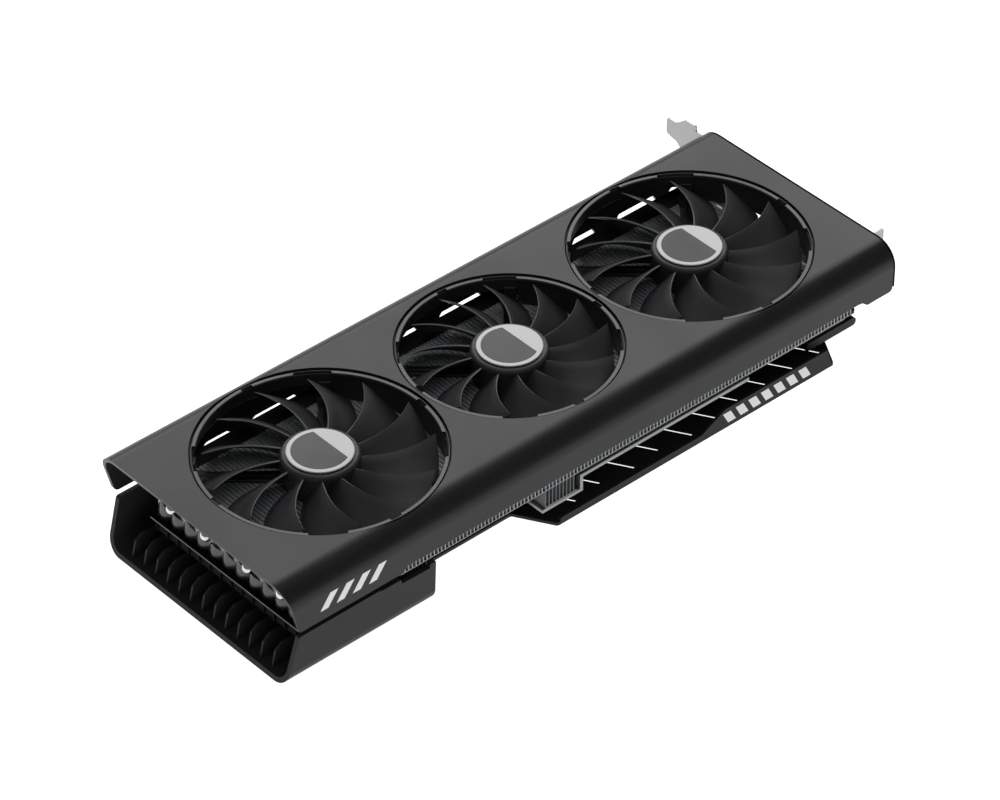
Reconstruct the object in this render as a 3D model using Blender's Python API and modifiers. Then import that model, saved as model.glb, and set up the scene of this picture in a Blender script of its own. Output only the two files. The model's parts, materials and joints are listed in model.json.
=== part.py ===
"""Triple-fan graphics card, built as an assembly of separate pieces.

Frame: +X runs along the card towards the I/O bracket, +Y towards the edge
connector, +Z from the backplate up to the fans. The origin is on the
backplate's outer face, under the axis of the middle fan.
Sizes below are in millimetres and are turned into metres by MM.
"""
import math

import bmesh
import bpy
from mathutils import Matrix, Vector

MM = 0.001
WELD = 1e-6
GAP = 0.3                      # clearance between pieces that meet

# Shroud
FACE_Z = 50.0                  # flat fan face of the shroud
SHROUD_HALF = 58.5             # half width across both side walls
SHROUD_WALL = 1.8
SHROUD_CORNER = 10.5
SHROUD_TAIL_X = -166.0
SHROUD_FRONT_X = 162.2
SHROUD_FAR_Z = 26.3            # lower edge of the far side wall
FAR_TAB_Z = 22.8               # lower edge of the tabs between its windows
FAR_TABS_X = (-122.0, 142.0)   # where that lower stretch starts and ends
FAR_WINDOW_Z = 27.4            # upper edge of the windows
FAR_WINDOWS = ((-13.9, -0.9), (11.5, 34.5))  # about each fan's axis
SHROUD_NEAR_Z = 30.5           # lower edge of the near side wall
SHROUD_NEAR_TAIL_Z = 28.0      # the same wall beside the rear end cover
SHROUD_NEAR_FRONT_Z = 27.7     # and beside the bracket
NEAR_STEP_TAIL_X = -108.0
NEAR_STEP_FRONT_X = 144.0
TAIL_RAKE = 6.3                # how far the tail ends of the side walls lean in
TRIM_LENGTH = 0.8
TRIM_DEPTH = 3.0
TRIM_LOW_Z = 29.6

# Fans: name, axis X, radius of the opening, angle of a blade tip (degrees)
FAN_SPACING = 100.3
LARGE_OPENING = 52.0
SMALL_OPENING = 47.4
FANS = (
    ("tail", -FAN_SPACING, LARGE_OPENING, 56.3),
    ("middle", 0.0, SMALL_OPENING, 62.8),
    ("bracket", FAN_SPACING, LARGE_OPENING, 56.6),
)
BLADES = 13
BLADE_REACH = 0.9              # blade tip radius over opening radius
BLADE_SWEEP = 17.2             # degrees the upper edge sweeps from root to tip
BLADE_SPAN_ANGLE = (25.0, 21.0)  # degrees a blade covers at its root and tip
BLADE_THICK = 1.2
BLADE_TOP = 47.2               # upper edge at the root
BLADE_RISE = 1.4               # how much higher it is at the tip
BLADE_BOTTOM = 38.0
HUB_R = 16.3
HUB_WALL = 1.5
HUB_TOP = 49.1
HUB_CAP = 1.7
HUB_BOTTOM = 37.6
BADGE_R = 13.7
BADGE_THICK = 0.5
RING_TOP = 49.3
RING_DEPTH = 3.8
RING_WIDTH = 2.9
ARM_BOTTOM = 35.3
ARM_THICK = 1.5
ARM_WIDTH = 5.0
ARM_ANGLES = (48.0, 138.0, 228.0, 318.0)
MOTOR_SEAT_R = 15.5
TUBE_R = 4.0
BEARING_R = 2.7
SHAFT_R = 1.45
MAGNET_WALL = 1.7
STATOR_POLES = 9

# Fins and cold side
FIN_TOP = 35.0
FIN_BOTTOM = 25.0
FIN_NEAR_Y = -(SHROUD_HALF - SHROUD_WALL - 0.5)
FIN_FAR_Y = 38.0
FIN_TAIL_X = -154.6
FIN_FRONT_X = 142.0
FIN_PITCH = 13.0
FIN_THICK = 1.2
FIN_FLANGE = 0.8
TAIL_FIN_BOTTOM = 19.5
TAIL_FIN_NEAR_Y = -52.5
DEEP_FIN_X = (-110.5, -91.0)
DEEP_FIN_BOTTOM = 10.0
DEEP_FIN_NEAR_Y = -53.2
STEP_FIN_Y = (-54.0, -46.5)    # the small deep block above the low plate
PLATE_THICK = 1.7
PLATE_LOW_Z = 11.7
PLATE_HIGH_Z = 18.8
PLATE_X = (-30.6, -10.2, 140.0)  # low end, riser, high end
PLATE_NEAR_Y = -54.0
PIPE_R = 3.0
PIPE_CHANNEL_Z = 30.8
PIPE_CHANNEL_Y = (-38.8, -18.2, 7.7, 29.0)
PIPE_TIP_OUT = 0.7
PIPE_PLATE_PITCH = 9.0

# Board
BOARD_Z = 5.9
BOARD_THICK = 1.6
BOARD_NEAR_Y = -39.7
BOARD_FAR_Y = 57.0
BOARD_TAIL_X = -78.0
BOARD_FRONT_X = SHROUD_FRONT_X - 1.2
POWER_RECESS_Y = -35.0
POWER_RECESS_X = -26.0
EDGE_X = (32.0, 117.0)
EDGE_Y = 68.5
KEY_X = 104.4
KEY_WIDTH = 1.9
GPU_X = 45.0
GPU_Y = -4.0
PACKAGE_HALF = 20.0
PACKAGE_THICK = 1.2
DIE_SIZE = (22.0, 20.0)
DIE_THICK = 0.7
MEMORY_SIZE = (12.0, 14.0)
MEMORY_THICK = 1.1
MEMORY_OFFSET = 36.0
MEMORY_PITCH = 18.0
COLD_PLATE_HALF = 25.0
COLD_PLATE_THICK = 3.6
SCREW_SPACING = 22.5           # from the processor's centre, both ways
SCREW_R = 1.2
SCREW_HEAD_R = 3.0

# Sockets
POWER_SIZE = (18.6, 13.5, 10.2)
POWER_X = (-64.0, -43.0)
POWER_CAVITY = (16.8, 9.0, 8.0)
POWER_FACE_Y = -37.5
DISPLAY_SIZE = (19.0, 18.6, 6.8)
DISPLAY_CAVITY = (12.0, 16.1, 4.8)
DISPLAY_Y = (44.0, 23.0, 2.0)
HDMI_Y = -19.0
HDMI_CAVITY = (12.0, 14.2, 4.7)

# Rear end cover
COVER_HALF_LOW = SHROUD_HALF - 2.5
COVER_HALF_TOP = SHROUD_HALF - 1.5
COVER_CORNER = 8.0
COVER_WALL = 2.2
COVER_FRONT_X = -89.5
COVER_TOP = 24.0
COVER_POST_TOP = 22.6
COVER_RAKE = 6.7
RIBS = 13
RIB_PITCH = 7.26
RIB_THICK = 1.0
RIB_TOP = 12.0
RIB_END_X = -124.0

# Backplate
BACK_THICK = 1.5
BACK_NEAR_Y = -53.6
BACK_POWER_Y = -36.5           # near edge beside the power sockets
BACK_FRONT_Y = -37.2           # near edge beside the bracket
BACK_FAR_Y = 56.0
BACK_FRONT_X = SHROUD_FRONT_X - 2.2
OVERHANG_X = (-21.8, 134.0)    # straight run of the overhang's near edge
DIAGONAL = 0.59                # X per Y of every slanted edge and slot
FLANGE_HEIGHT = 3.4
FLANGE_THICK = 1.2
PANEL_HEIGHT = 10.0
PANEL_X = (58.0, 71.0, 130.0)
SLOTS = 10
SLOT_PITCH = 15.9
SLOT_FIRST_X = -8.8
SLOT_WIDTH = 1.0
SLOT_Y = (-33.0, -46.0, -48.0)
SLOT_ECHELON = 0.21            # each slot lies this much further out than the one before
WINDOW_HALF = 28.0

# Bracket
BRACKET_X = SHROUD_FRONT_X + TRIM_LENGTH + 2 * GAP
BRACKET_THICK = 1.0
BRACKET_Z = (6.6, 43.3)
BRACKET_FLANGE_Y = -38.5
BRACKET_FLANGE_LENGTH = 11.8
FLANGE_NOTCH_DEPTH = 4.9
FLANGE_LOW_Z = 8.4
BRACKET_TIP_Y = 80.9
SLOT_STEP = 20.32              # distance between two expansion slots
VENTS = 11
VENT_PITCH = 8.0
VENT_WIDTH = 4.0
VENT_Z = (17.6, 24.4)
STIFFENER_X = (128.0, 156.6)
STIFFENER_Y = (-44.0, -40.0)
STIFFENER_Z = (4.6, 8.6)
RAIL_Y = (38.4, 47.5)
RAIL_Z = (33.0, 34.4)
RAIL_LEGS_X = (-70.0, 12.0, 132.0)

SCENE = bpy.context.scene


def clear_scene():
    for obj in list(bpy.data.objects):
        bpy.data.objects.remove(obj)


def collection(name):
    made = bpy.data.collections.new(name)
    SCENE.collection.children.link(made)
    return made


clear_scene()
PARTS = collection("graphics_card")
CUTTERS = collection("cutters")


def material(name, colour, roughness, metallic=0.0):
    made = bpy.data.materials.new(name)
    made.use_nodes = True
    shader = made.node_tree.nodes["Principled BSDF"]
    shader.inputs["Base Color"].default_value = (*colour, 1.0)
    shader.inputs["Roughness"].default_value = roughness
    shader.inputs["Metallic"].default_value = metallic
    return made


SHROUD_PAINT = material("shroud_paint", (0.085, 0.085, 0.088), 0.45)
BLACK_PLASTIC = material("black_plastic", (0.020, 0.020, 0.021), 0.5)
BLADE_PLASTIC = material("blade_plastic", (0.035, 0.035, 0.037), 0.42)
BLACK_METAL = material("black_metal", (0.012, 0.011, 0.010), 0.4, 0.6)
SILVER = material("silver_badge", (0.62, 0.62, 0.62), 0.35, 0.4)
STEEL = material("bracket_steel", (0.56, 0.56, 0.57), 0.32, 1.0)
ALUMINIUM = material("aluminium", (0.60, 0.61, 0.62), 0.35, 1.0)
FIN_METAL = material("fin_metal", (0.16, 0.18, 0.19), 0.4, 0.9)
COPPER = material("copper", (0.72, 0.38, 0.25), 0.3, 1.0)
BOARD_MASK = material("board_mask", (0.010, 0.012, 0.012), 0.45)
CHIP = material("chip_resin", (0.018, 0.018, 0.020), 0.5)
DIE_GLASS = material("die_silicon", (0.25, 0.26, 0.30), 0.15, 0.5)
MAGNET = material("magnet", (0.05, 0.045, 0.045), 0.5, 0.5)


def add_object(name, mesh, paint=None, home=None):
    obj = bpy.data.objects.new(name, mesh)
    (home or PARTS).objects.link(obj)
    if paint is not None:
        mesh.materials.clear()
        mesh.materials.append(paint)
    return obj


def as_cutter(obj):
    for home in list(obj.users_collection):
        home.objects.unlink(obj)
    CUTTERS.objects.link(obj)
    obj.hide_render = True
    obj.display_type = "WIRE"
    return obj


def boolean(target, tool, operation="DIFFERENCE"):
    """Cut, join or intersect the target with a tool object."""
    as_cutter(tool)
    change = target.modifiers.new(operation.lower(), "BOOLEAN")
    change.operation = operation
    change.solver = "EXACT"
    change.object = tool
    return target


def mesh_from(name, shape):
    mesh = bpy.data.meshes.new(name)
    bmesh.ops.recalc_face_normals(shape, faces=shape.faces)
    shape.to_mesh(mesh)
    shape.free()
    return mesh


def boxes(name, corner_pairs, paint=None):
    """One object of one or more separate boxes, each given by two corners."""
    shape = bmesh.new()
    for low, high in corner_pairs:
        low = Vector(low) * MM
        high = Vector(high) * MM
        size = Matrix.Diagonal((*(high - low), 1.0))
        place = Matrix.Translation((low + high) / 2)
        bmesh.ops.create_cube(shape, size=1.0, matrix=place @ size)
    return add_object(name, mesh_from(name, shape), paint)


def box(name, low, high, paint=None):
    return boxes(name, [(low, high)], paint)


def cylinder(name, centre, radius, low, high, paint=None, sides=32, axis="Z"):
    """Upright cylinder about centre (x, y), or one along X about (y, z)."""
    shape = bmesh.new()
    bmesh.ops.create_cone(
        shape, cap_ends=True, segments=sides,
        radius1=radius * MM, radius2=radius * MM, depth=(high - low) * MM)
    middle = (low + high) / 2
    if axis == "X":
        turn = Matrix.Rotation(math.pi / 2, 4, "Y")
        place = Vector((middle, *centre))
    else:
        turn = Matrix.Identity(4)
        place = Vector((*centre, middle))
    shape.transform(Matrix.Translation(place * MM) @ turn)
    obj = add_object(name, mesh_from(name, shape), paint)
    smooth(obj)
    return obj


def smooth(obj, angle=35.0):
    obj.data.shade_smooth()
    obj.data.set_sharp_from_angle(angle=math.radians(angle))


def rounded(points, steps=6):
    """Closed outline from (u, v) or (u, v, radius) corners."""
    outline = []
    count = len(points)
    for index, point in enumerate(points):
        corner = Vector(point[:2])
        radius = point[2] if len(point) > 2 else 0.0
        if radius <= 0.0:
            outline.append(corner)
            continue
        before = (Vector(points[index - 1][:2]) - corner).normalized()
        after = (Vector(points[(index + 1) % count][:2]) - corner).normalized()
        half = before.angle(after) / 2
        reach = radius / math.tan(half)
        centre = corner + (before + after).normalized() * radius / math.sin(half)
        start = corner + before * reach - centre
        turn = before.cross(after)
        sweep = (math.pi - 2 * half) * (1 if turn < 0 else -1)
        for step in range(steps + 1):
            outline.append(centre + Matrix.Rotation(sweep * step / steps, 2) @ start)
    return outline


def circle(centre, radius, sides=16):
    return [(centre[0] + radius * math.cos(2 * math.pi * i / sides),
             centre[1] + radius * math.sin(2 * math.pi * i / sides)) for i in range(sides)]


def rectangle(u_low, v_low, u_high, v_high, radius=0.0, steps=4):
    return rounded([(u_low, v_low, radius), (u_high, v_low, radius),
                    (u_high, v_high, radius), (u_low, v_high, radius)], steps)


PLANES = {
    "XY": Matrix.Identity(4),
    "XZ": Matrix(((1, 0, 0, 0), (0, 0, -1, 0), (0, 1, 0, 0), (0, 0, 0, 1))),
    "YZ": Matrix(((0, 0, 1, 0), (1, 0, 0, 0), (0, 1, 0, 0), (0, 0, 0, 1))),
}


def prism(name, outlines, low, high, plane="XY", paint=None):
    """Flat outline with optional holes, extruded across the plane."""
    curve = bpy.data.curves.new(name, "CURVE")
    curve.dimensions = "2D"
    curve.fill_mode = "BOTH"
    curve.extrude = (high - low) / 2 * MM
    for outline in outlines:
        spline = curve.splines.new("POLY")
        spline.points.add(len(outline) - 1)
        spline.use_cyclic_u = True
        for point, (u, v) in zip(spline.points, outline):
            point.co = (u * MM, v * MM, 0.0, 1.0)
    flat = bpy.data.objects.new(name, curve)
    CUTTERS.objects.link(flat)
    bpy.context.view_layer.update()
    graph = bpy.context.evaluated_depsgraph_get()
    mesh = bpy.data.meshes.new_from_object(flat.evaluated_get(graph))
    bpy.data.objects.remove(flat)
    shape = bmesh.new()
    shape.from_mesh(mesh)
    bmesh.ops.remove_doubles(shape, verts=shape.verts, dist=WELD)
    bmesh.ops.dissolve_limit(shape, angle_limit=math.radians(0.5),
                             verts=shape.verts, edges=shape.edges)
    sign = -1 if plane == "XZ" else 1
    shift = Matrix.Translation((0, 0, sign * (low + high) / 2 * MM))
    shape.transform(PLANES[plane] @ shift)
    mesh.materials.clear()
    bmesh.ops.recalc_face_normals(shape, faces=shape.faces)
    shape.to_mesh(mesh)
    shape.free()
    obj = add_object(name, mesh, paint)
    smooth(obj)
    return obj


def turned(name, profile, centre, paint=None, closed=False, steps=48):
    """Profile of (radius, z) points turned about a vertical axis.

    The points run down the outer side. A closed profile makes a ring.
    """
    shape = bmesh.new()
    points = [shape.verts.new((r * MM, 0.0, z * MM)) for r, z in profile]
    last = len(points) if closed else len(points) - 1
    for index in range(last):
        shape.edges.new((points[index], points[(index + 1) % len(points)]))
    mesh = bpy.data.meshes.new(name)
    shape.to_mesh(mesh)
    shape.free()
    obj = add_object(name, mesh, paint)
    obj.location = (centre[0] * MM, centre[1] * MM, 0.0)
    spin = obj.modifiers.new("turn", "SCREW")
    spin.steps = steps
    spin.render_steps = steps
    spin.use_merge_vertices = True
    spin.merge_threshold = WELD
    spin.use_smooth_shade = True
    return obj


def tube(name, path, radius, paint):
    curve = bpy.data.curves.new(name, "CURVE")
    curve.dimensions = "3D"
    curve.bevel_depth = radius * MM
    curve.bevel_resolution = 2
    curve.use_fill_caps = True
    spline = curve.splines.new("POLY")
    spline.points.add(len(path) - 1)
    for point, place in zip(spline.points, path):
        point.co = (*(Vector(place) * MM), 1.0)
    curve.materials.append(paint)
    obj = bpy.data.objects.new(name, curve)
    PARTS.objects.link(obj)
    return obj


def c_profile(half, top, low, wall, corner, inset=0.0):
    """C-section of the shroud: outline of its wall, open underneath."""
    outer = half - inset
    inner = half - wall
    steps = 8
    path = rounded([(outer, low), (outer, top - inset, corner - inset),
                    (-outer, top - inset, corner - inset), (-outer, low)], steps)
    back = rounded([(-inner, low), (-inner, top - wall, corner - wall),
                    (inner, top - wall, corner - wall), (inner, low)], steps)
    return path + back


def make_shroud():
    section = c_profile(SHROUD_HALF, FACE_Z, FAR_TAB_Z - 1, SHROUD_WALL, SHROUD_CORNER)
    shroud = prism("shroud", [section], SHROUD_TAIL_X, SHROUD_FRONT_X, "YZ", SHROUD_PAINT)
    height = FACE_Z - SHROUD_FAR_Z
    side = rounded([
        (SHROUD_TAIL_X - TAIL_RAKE / height, FACE_Z + 1),
        (SHROUD_TAIL_X + TAIL_RAKE, SHROUD_FAR_Z, 3.0),
        (FAR_TABS_X[0], SHROUD_FAR_Z),
        (FAR_TABS_X[0] + 2.0, COVER_TOP + GAP),
        (COVER_FRONT_X + GAP, COVER_TOP + GAP),
        (COVER_FRONT_X + 2.0, FAR_TAB_Z),
        (SHROUD_FRONT_X + 1, FAR_TAB_Z),
        (SHROUD_FRONT_X + 1, FACE_Z + 1)])
    boolean(shroud, prism("shroud_side", [side], -SHROUD_HALF - 1, SHROUD_HALF + 1, "XZ"),
            "INTERSECT")
    deep = SHROUD_HALF - 2 * SHROUD_WALL
    windows = [((x + start, deep, FAR_TAB_Z - 2), (x + end, SHROUD_HALF + 1, FAR_WINDOW_Z))
               for _, x, _, _ in FANS for start, end in FAR_WINDOWS]
    windows.append(((FAR_TABS_X[1], deep, FAR_TAB_Z - 2),
                    (SHROUD_FRONT_X + 1, SHROUD_HALF + 1, SHROUD_FAR_Z)))
    boolean(shroud, boxes("far_windows", windows))
    step = NEAR_STEP_TAIL_X
    front = NEAR_STEP_FRONT_X
    below = rounded([
        (SHROUD_TAIL_X - 5, FAR_TAB_Z - 5),
        (SHROUD_TAIL_X - 5, SHROUD_NEAR_TAIL_Z),
        (step, SHROUD_NEAR_TAIL_Z, 1.0),
        (step + 2, SHROUD_NEAR_Z, 1.0),
        (front, SHROUD_NEAR_Z, 1.2),
        (front + 3.5, SHROUD_NEAR_FRONT_Z, 1.2),
        (SHROUD_FRONT_X - 1.8, SHROUD_NEAR_FRONT_Z),
        (SHROUD_FRONT_X - 0.6, SHROUD_NEAR_FRONT_Z + 0.5),
        (SHROUD_FRONT_X + 0.6, SHROUD_NEAR_FRONT_Z + 2.6),
        (SHROUD_FRONT_X + 5, FAR_TAB_Z - 5)], 4)
    boolean(shroud, prism("near_edge", [below], -SHROUD_HALF - 1, -SHROUD_HALF / 2, "XZ"))
    for name, x, radius, _ in FANS:
        boolean(shroud, cylinder("opening_" + name, (x, 0.0), radius,
                                 FACE_Z - SHROUD_WALL - 1, FACE_Z + 1, sides=64))


def make_end_trim():
    section = c_profile(SHROUD_HALF, FACE_Z, TRIM_LOW_Z, TRIM_DEPTH, SHROUD_CORNER)
    start = SHROUD_FRONT_X + GAP
    prism("end_trim", [section], start, start + TRIM_LENGTH, "YZ", BLACK_PLASTIC)


def blade_surface(shape, reach, tip_angle):
    """One blade as an open grid: from root to tip, and from upper to lower edge."""
    spans = 4
    chords = 3
    root = HUB_R - HUB_WALL / 2
    grid = []
    for span in range(spans + 1):
        share = span / spans
        radius = root + (reach - root) * share
        covered = BLADE_SPAN_ANGLE[0] + (BLADE_SPAN_ANGLE[1] - BLADE_SPAN_ANGLE[0]) * share
        upper = tip_angle - BLADE_SWEEP * (1 - share)
        row = []
        for chord in range(chords + 1):
            along = chord / chords
            angle = math.radians(upper - covered * along)
            drop = 1.2 * along - 0.2 * along * along
            upper_z = BLADE_TOP + BLADE_RISE * share
            z = upper_z + (BLADE_BOTTOM - upper_z) * drop
            row.append(shape.verts.new((
                radius * math.cos(angle) * MM, radius * math.sin(angle) * MM, z * MM)))
        grid.append(row)
    for span in range(spans):
        for chord in range(chords):
            shape.faces.new((grid[span][chord], grid[span + 1][chord],
                             grid[span + 1][chord + 1], grid[span][chord + 1]))


def make_impeller(name, x, opening, tip_angle):
    hub = [(0.0, HUB_TOP), (HUB_R - 3.5, HUB_TOP), (HUB_R - 1.2, HUB_TOP - 0.5),
           (HUB_R, HUB_TOP - 2.4), (HUB_R, HUB_BOTTOM),
           (HUB_R - HUB_WALL, HUB_BOTTOM), (HUB_R - HUB_WALL, HUB_TOP - HUB_CAP),
           (0.0, HUB_TOP - HUB_CAP)]
    impeller = turned("impeller_" + name, hub, (x, 0.0), BLADE_PLASTIC, steps=2 * BLADES)
    shape = bmesh.new()
    for blade in range(BLADES):
        blade_surface(shape, opening * BLADE_REACH, tip_angle + 360.0 * blade / BLADES)
    mesh = bpy.data.meshes.new("blades_" + name)
    shape.to_mesh(mesh)
    shape.free()
    blades = add_object("blades_" + name, mesh)
    blades.location = (x * MM, 0.0, 0.0)
    mesh.shade_smooth()
    thick = blades.modifiers.new("thickness", "SOLIDIFY")
    thick.thickness = BLADE_THICK * MM
    thick.offset = 0.0
    boolean(impeller, blades, "UNION")


def make_rotor(name, x):
    badge_low = HUB_TOP + GAP
    cylinder("hub_badge_" + name, (x, 0.0), BADGE_R, badge_low, badge_low + BADGE_THICK,
             SILVER, sides=32)
    ceiling = HUB_TOP - HUB_CAP - GAP
    cylinder("shaft_" + name, (x, 0.0), SHAFT_R, ARM_BOTTOM + ARM_THICK + 1.0, ceiling,
             STEEL, sides=16)
    outer = HUB_R - HUB_WALL - GAP
    low = HUB_BOTTOM + 0.6
    high = ceiling - 0.6
    ring = [(outer, high), (outer, low), (outer - MAGNET_WALL, low), (outer - MAGNET_WALL, high)]
    turned("rotor_magnet_" + name, ring, (x, 0.0), MAGNET, closed=True, steps=24)


def make_fan_frame(name, x, opening):
    """Ring under the shroud's opening, four arms and the motor seat with its tube."""
    outer = opening - GAP
    inner = opening - GAP - RING_WIDTH
    low = RING_TOP - RING_DEPTH
    ring = [(outer, RING_TOP), (outer, low), (inner, low), (inner, RING_TOP - 1.2),
            (inner + 0.8, RING_TOP)]
    frame = turned("fan_frame_" + name, ring, (x, 0.0), BLACK_PLASTIC, closed=True, steps=48)
    arm_top = ARM_BOTTOM + ARM_THICK
    post = (inner + 0.6, outer - 0.4)
    arm = [(MOTOR_SEAT_R - 3, ARM_BOTTOM), (post[1], ARM_BOTTOM), (post[1], low + 1),
           (post[0], low + 1), (post[0], arm_top), (MOTOR_SEAT_R - 3, arm_top)]
    shape = bmesh.new()
    for angle in ARM_ANGLES:
        one = prism("arm", [arm], -ARM_WIDTH / 2, ARM_WIDTH / 2, "XZ")
        one.data.transform(Matrix.Rotation(math.radians(angle), 4, "Z"))
        shape.from_mesh(one.data)
        bpy.data.objects.remove(one)
    arms = add_object("arms_" + name, mesh_from("arms_" + name, shape))
    arms.location = (x * MM, 0.0, 0.0)
    boolean(frame, arms, "UNION")
    seat_low = ARM_BOTTOM - 0.1
    seat_top = arm_top + 0.1
    tube_top = HUB_TOP - HUB_CAP - 2.0
    bore = BEARING_R + GAP
    seat = [(0.0, seat_top), (bore, seat_top), (bore, tube_top), (TUBE_R, tube_top),
            (TUBE_R, seat_top), (MOTOR_SEAT_R, seat_top), (MOTOR_SEAT_R, seat_low),
            (0.0, seat_low)]
    boolean(frame, turned("seat_" + name, seat, (x, 0.0), steps=24), "UNION")


def make_stator(name, x):
    low = ARM_BOTTOM + ARM_THICK + 1.6
    high = HUB_TOP - HUB_CAP - 2.2
    outer = HUB_R - HUB_WALL - GAP - MAGNET_WALL - 0.6
    core = TUBE_R + GAP + 2.2
    outline = []
    for pole in range(STATOR_POLES):
        middle = 2 * math.pi * pole / STATOR_POLES
        half = math.pi / STATOR_POLES
        for radius, share in ((core, -0.45), (outer - 1.5, -0.25), (outer - 1.5, -0.75),
                              (outer, -0.75), (outer, 0.75), (outer - 1.5, 0.75),
                              (outer - 1.5, 0.25), (core, 0.45)):
            angle = middle + half * share
            outline.append((x + radius * math.cos(angle), radius * math.sin(angle)))
    bore = [(x + (TUBE_R + GAP) * math.cos(a), (TUBE_R + GAP) * math.sin(a))
            for a in (2 * math.pi * i / 24 for i in range(24))]
    prism("stator_" + name, [outline, bore], low, high, "XY", COPPER)


def make_bearing(name, x):
    low = ARM_BOTTOM + ARM_THICK + 0.4
    high = HUB_TOP - HUB_CAP - 2.4
    inner = SHAFT_R + GAP
    ring = [(BEARING_R, high), (BEARING_R, low), (inner, low), (inner, high)]
    turned("bearing_" + name, ring, (x, 0.0), MAGNET, closed=True, steps=16)


def fin_gaps():
    """X ranges of the air gaps between neighbouring fins."""
    count = int((FIN_FRONT_X - FIN_TAIL_X) // FIN_PITCH)
    pitch = (FIN_FRONT_X - FIN_TAIL_X - FIN_THICK) / count
    for index in range(count):
        start = FIN_TAIL_X + FIN_THICK + index * pitch
        yield start, start + pitch - FIN_THICK


def overlaps(span, low, high):
    return span[0] < high and span[1] > low


def make_fin_stack():
    plate_top = PLATE_HIGH_Z + PLATE_THICK + GAP
    low_top = PLATE_LOW_Z + PLATE_THICK + GAP
    riser = PLATE_X[1] + PLATE_THICK
    lap = 1.0
    stack = box("fin_stack", (FIN_TAIL_X, FIN_NEAR_Y, FIN_BOTTOM),
                (FIN_FRONT_X, FIN_FAR_Y, FIN_TOP), FIN_METAL)
    lower = boxes("lower_fins", [
        ((FIN_TAIL_X, TAIL_FIN_NEAR_Y, TAIL_FIN_BOTTOM),
         (DEEP_FIN_X[0], FIN_FAR_Y, FIN_BOTTOM + lap)),
        ((PLATE_X[0], STEP_FIN_Y[0], low_top), (PLATE_X[1] - 2.0, STEP_FIN_Y[1], FIN_BOTTOM + lap)),
        ((riser, STEP_FIN_Y[0] + 1.0, plate_top),
         (PLATE_X[2], FIN_FAR_Y, FIN_BOTTOM + lap)),
    ])
    boolean(stack, lower, "UNION")
    deep = box("deep_fins", (DEEP_FIN_X[0] - lap, DEEP_FIN_NEAR_Y, DEEP_FIN_BOTTOM),
               (DEEP_FIN_X[1], FIN_FAR_Y - 0.01, FIN_BOTTOM + lap / 2))
    boolean(stack, deep, "UNION")
    corner = box("tail_corner", (FIN_TAIL_X - 1, FIN_NEAR_Y - 1, FIN_BOTTOM - 10),
                 (NEAR_STEP_TAIL_X, TAIL_FIN_NEAR_Y, FIN_TOP + 1))
    boolean(stack, corner)
    reach = PIPE_R + GAP
    channels = boxes("pipe_channels", [
        ((FIN_TAIL_X - 1, y - reach, DEEP_FIN_BOTTOM - 1),
         (FIN_FRONT_X + 1, y + reach, PIPE_CHANNEL_Z + reach)) for y in PIPE_CHANNEL_Y])
    boolean(stack, channels)
    bottoms = ((FIN_TAIL_X, NEAR_STEP_TAIL_X, TAIL_FIN_BOTTOM),
               (DEEP_FIN_X[0], DEEP_FIN_X[1], DEEP_FIN_BOTTOM),
               (DEEP_FIN_X[1], riser, FIN_BOTTOM),
               (riser, PLATE_X[2], plate_top),
               (PLATE_X[2], FIN_FRONT_X, FIN_BOTTOM))
    grooves = []
    for span in fin_gaps():
        floor = max(z for low, high, z in bottoms if overlaps(span, low, high))
        grooves.append(((span[0], FIN_NEAR_Y - 1, floor + FIN_FLANGE),
                        (span[1], FIN_FAR_Y + 1, FIN_TOP + 1)))
    boolean(stack, boxes("fin_grooves", grooves))
    steps = [((span[0] + 0.01, STEP_FIN_Y[0] - 1, low_top + FIN_FLANGE),
              (span[1] - 0.01, STEP_FIN_Y[1] + 1, FIN_BOTTOM + FIN_FLANGE + lap))
             for span in fin_gaps() if overlaps(span, PLATE_X[0], PLATE_X[1] - 3)]
    boolean(stack, boxes("step_grooves", steps))


def pipe_plate_y(index):
    return GPU_Y + PIPE_PLATE_PITCH * (index - (len(PIPE_CHANNEL_Y) - 1) / 2)


def pipe_level():
    plate_top = BOARD_Z + BOARD_THICK + PACKAGE_THICK + DIE_THICK + 3 * GAP + COLD_PLATE_THICK
    return plate_top + GAP + PIPE_R


def make_heat_pipes():
    level = pipe_level()
    ease = [(1 - math.cos(math.pi * i / 6)) / 2 for i in range(1, 7)]
    drop = (PLATE_X[0] - 15.0, PLATE_X[0] + 8.0)
    side = (PLATE_X[1] - 9.0, GPU_X - COLD_PLATE_HALF - 4.0)
    for index, y in enumerate(PIPE_CHANNEL_Y):
        plate_y = pipe_plate_y(index)
        path = [(FIN_TAIL_X - PIPE_TIP_OUT, y, PIPE_CHANNEL_Z), (drop[0], y, PIPE_CHANNEL_Z)]
        path += [(drop[0] + (drop[1] - drop[0]) * (step + 1) / 6, y,
                  PIPE_CHANNEL_Z + (level - PIPE_CHANNEL_Z) * share)
                 for step, share in enumerate(ease)]
        path += [(side[0] + (side[1] - side[0]) * (step + 1) / 6,
                  y + (plate_y - y) * share, level) for step, share in enumerate(ease)]
        path.append((GPU_X + COLD_PLATE_HALF, plate_y, level))
        tube("heat_pipe_%d" % (index + 1), path, PIPE_R, COPPER)


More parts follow.
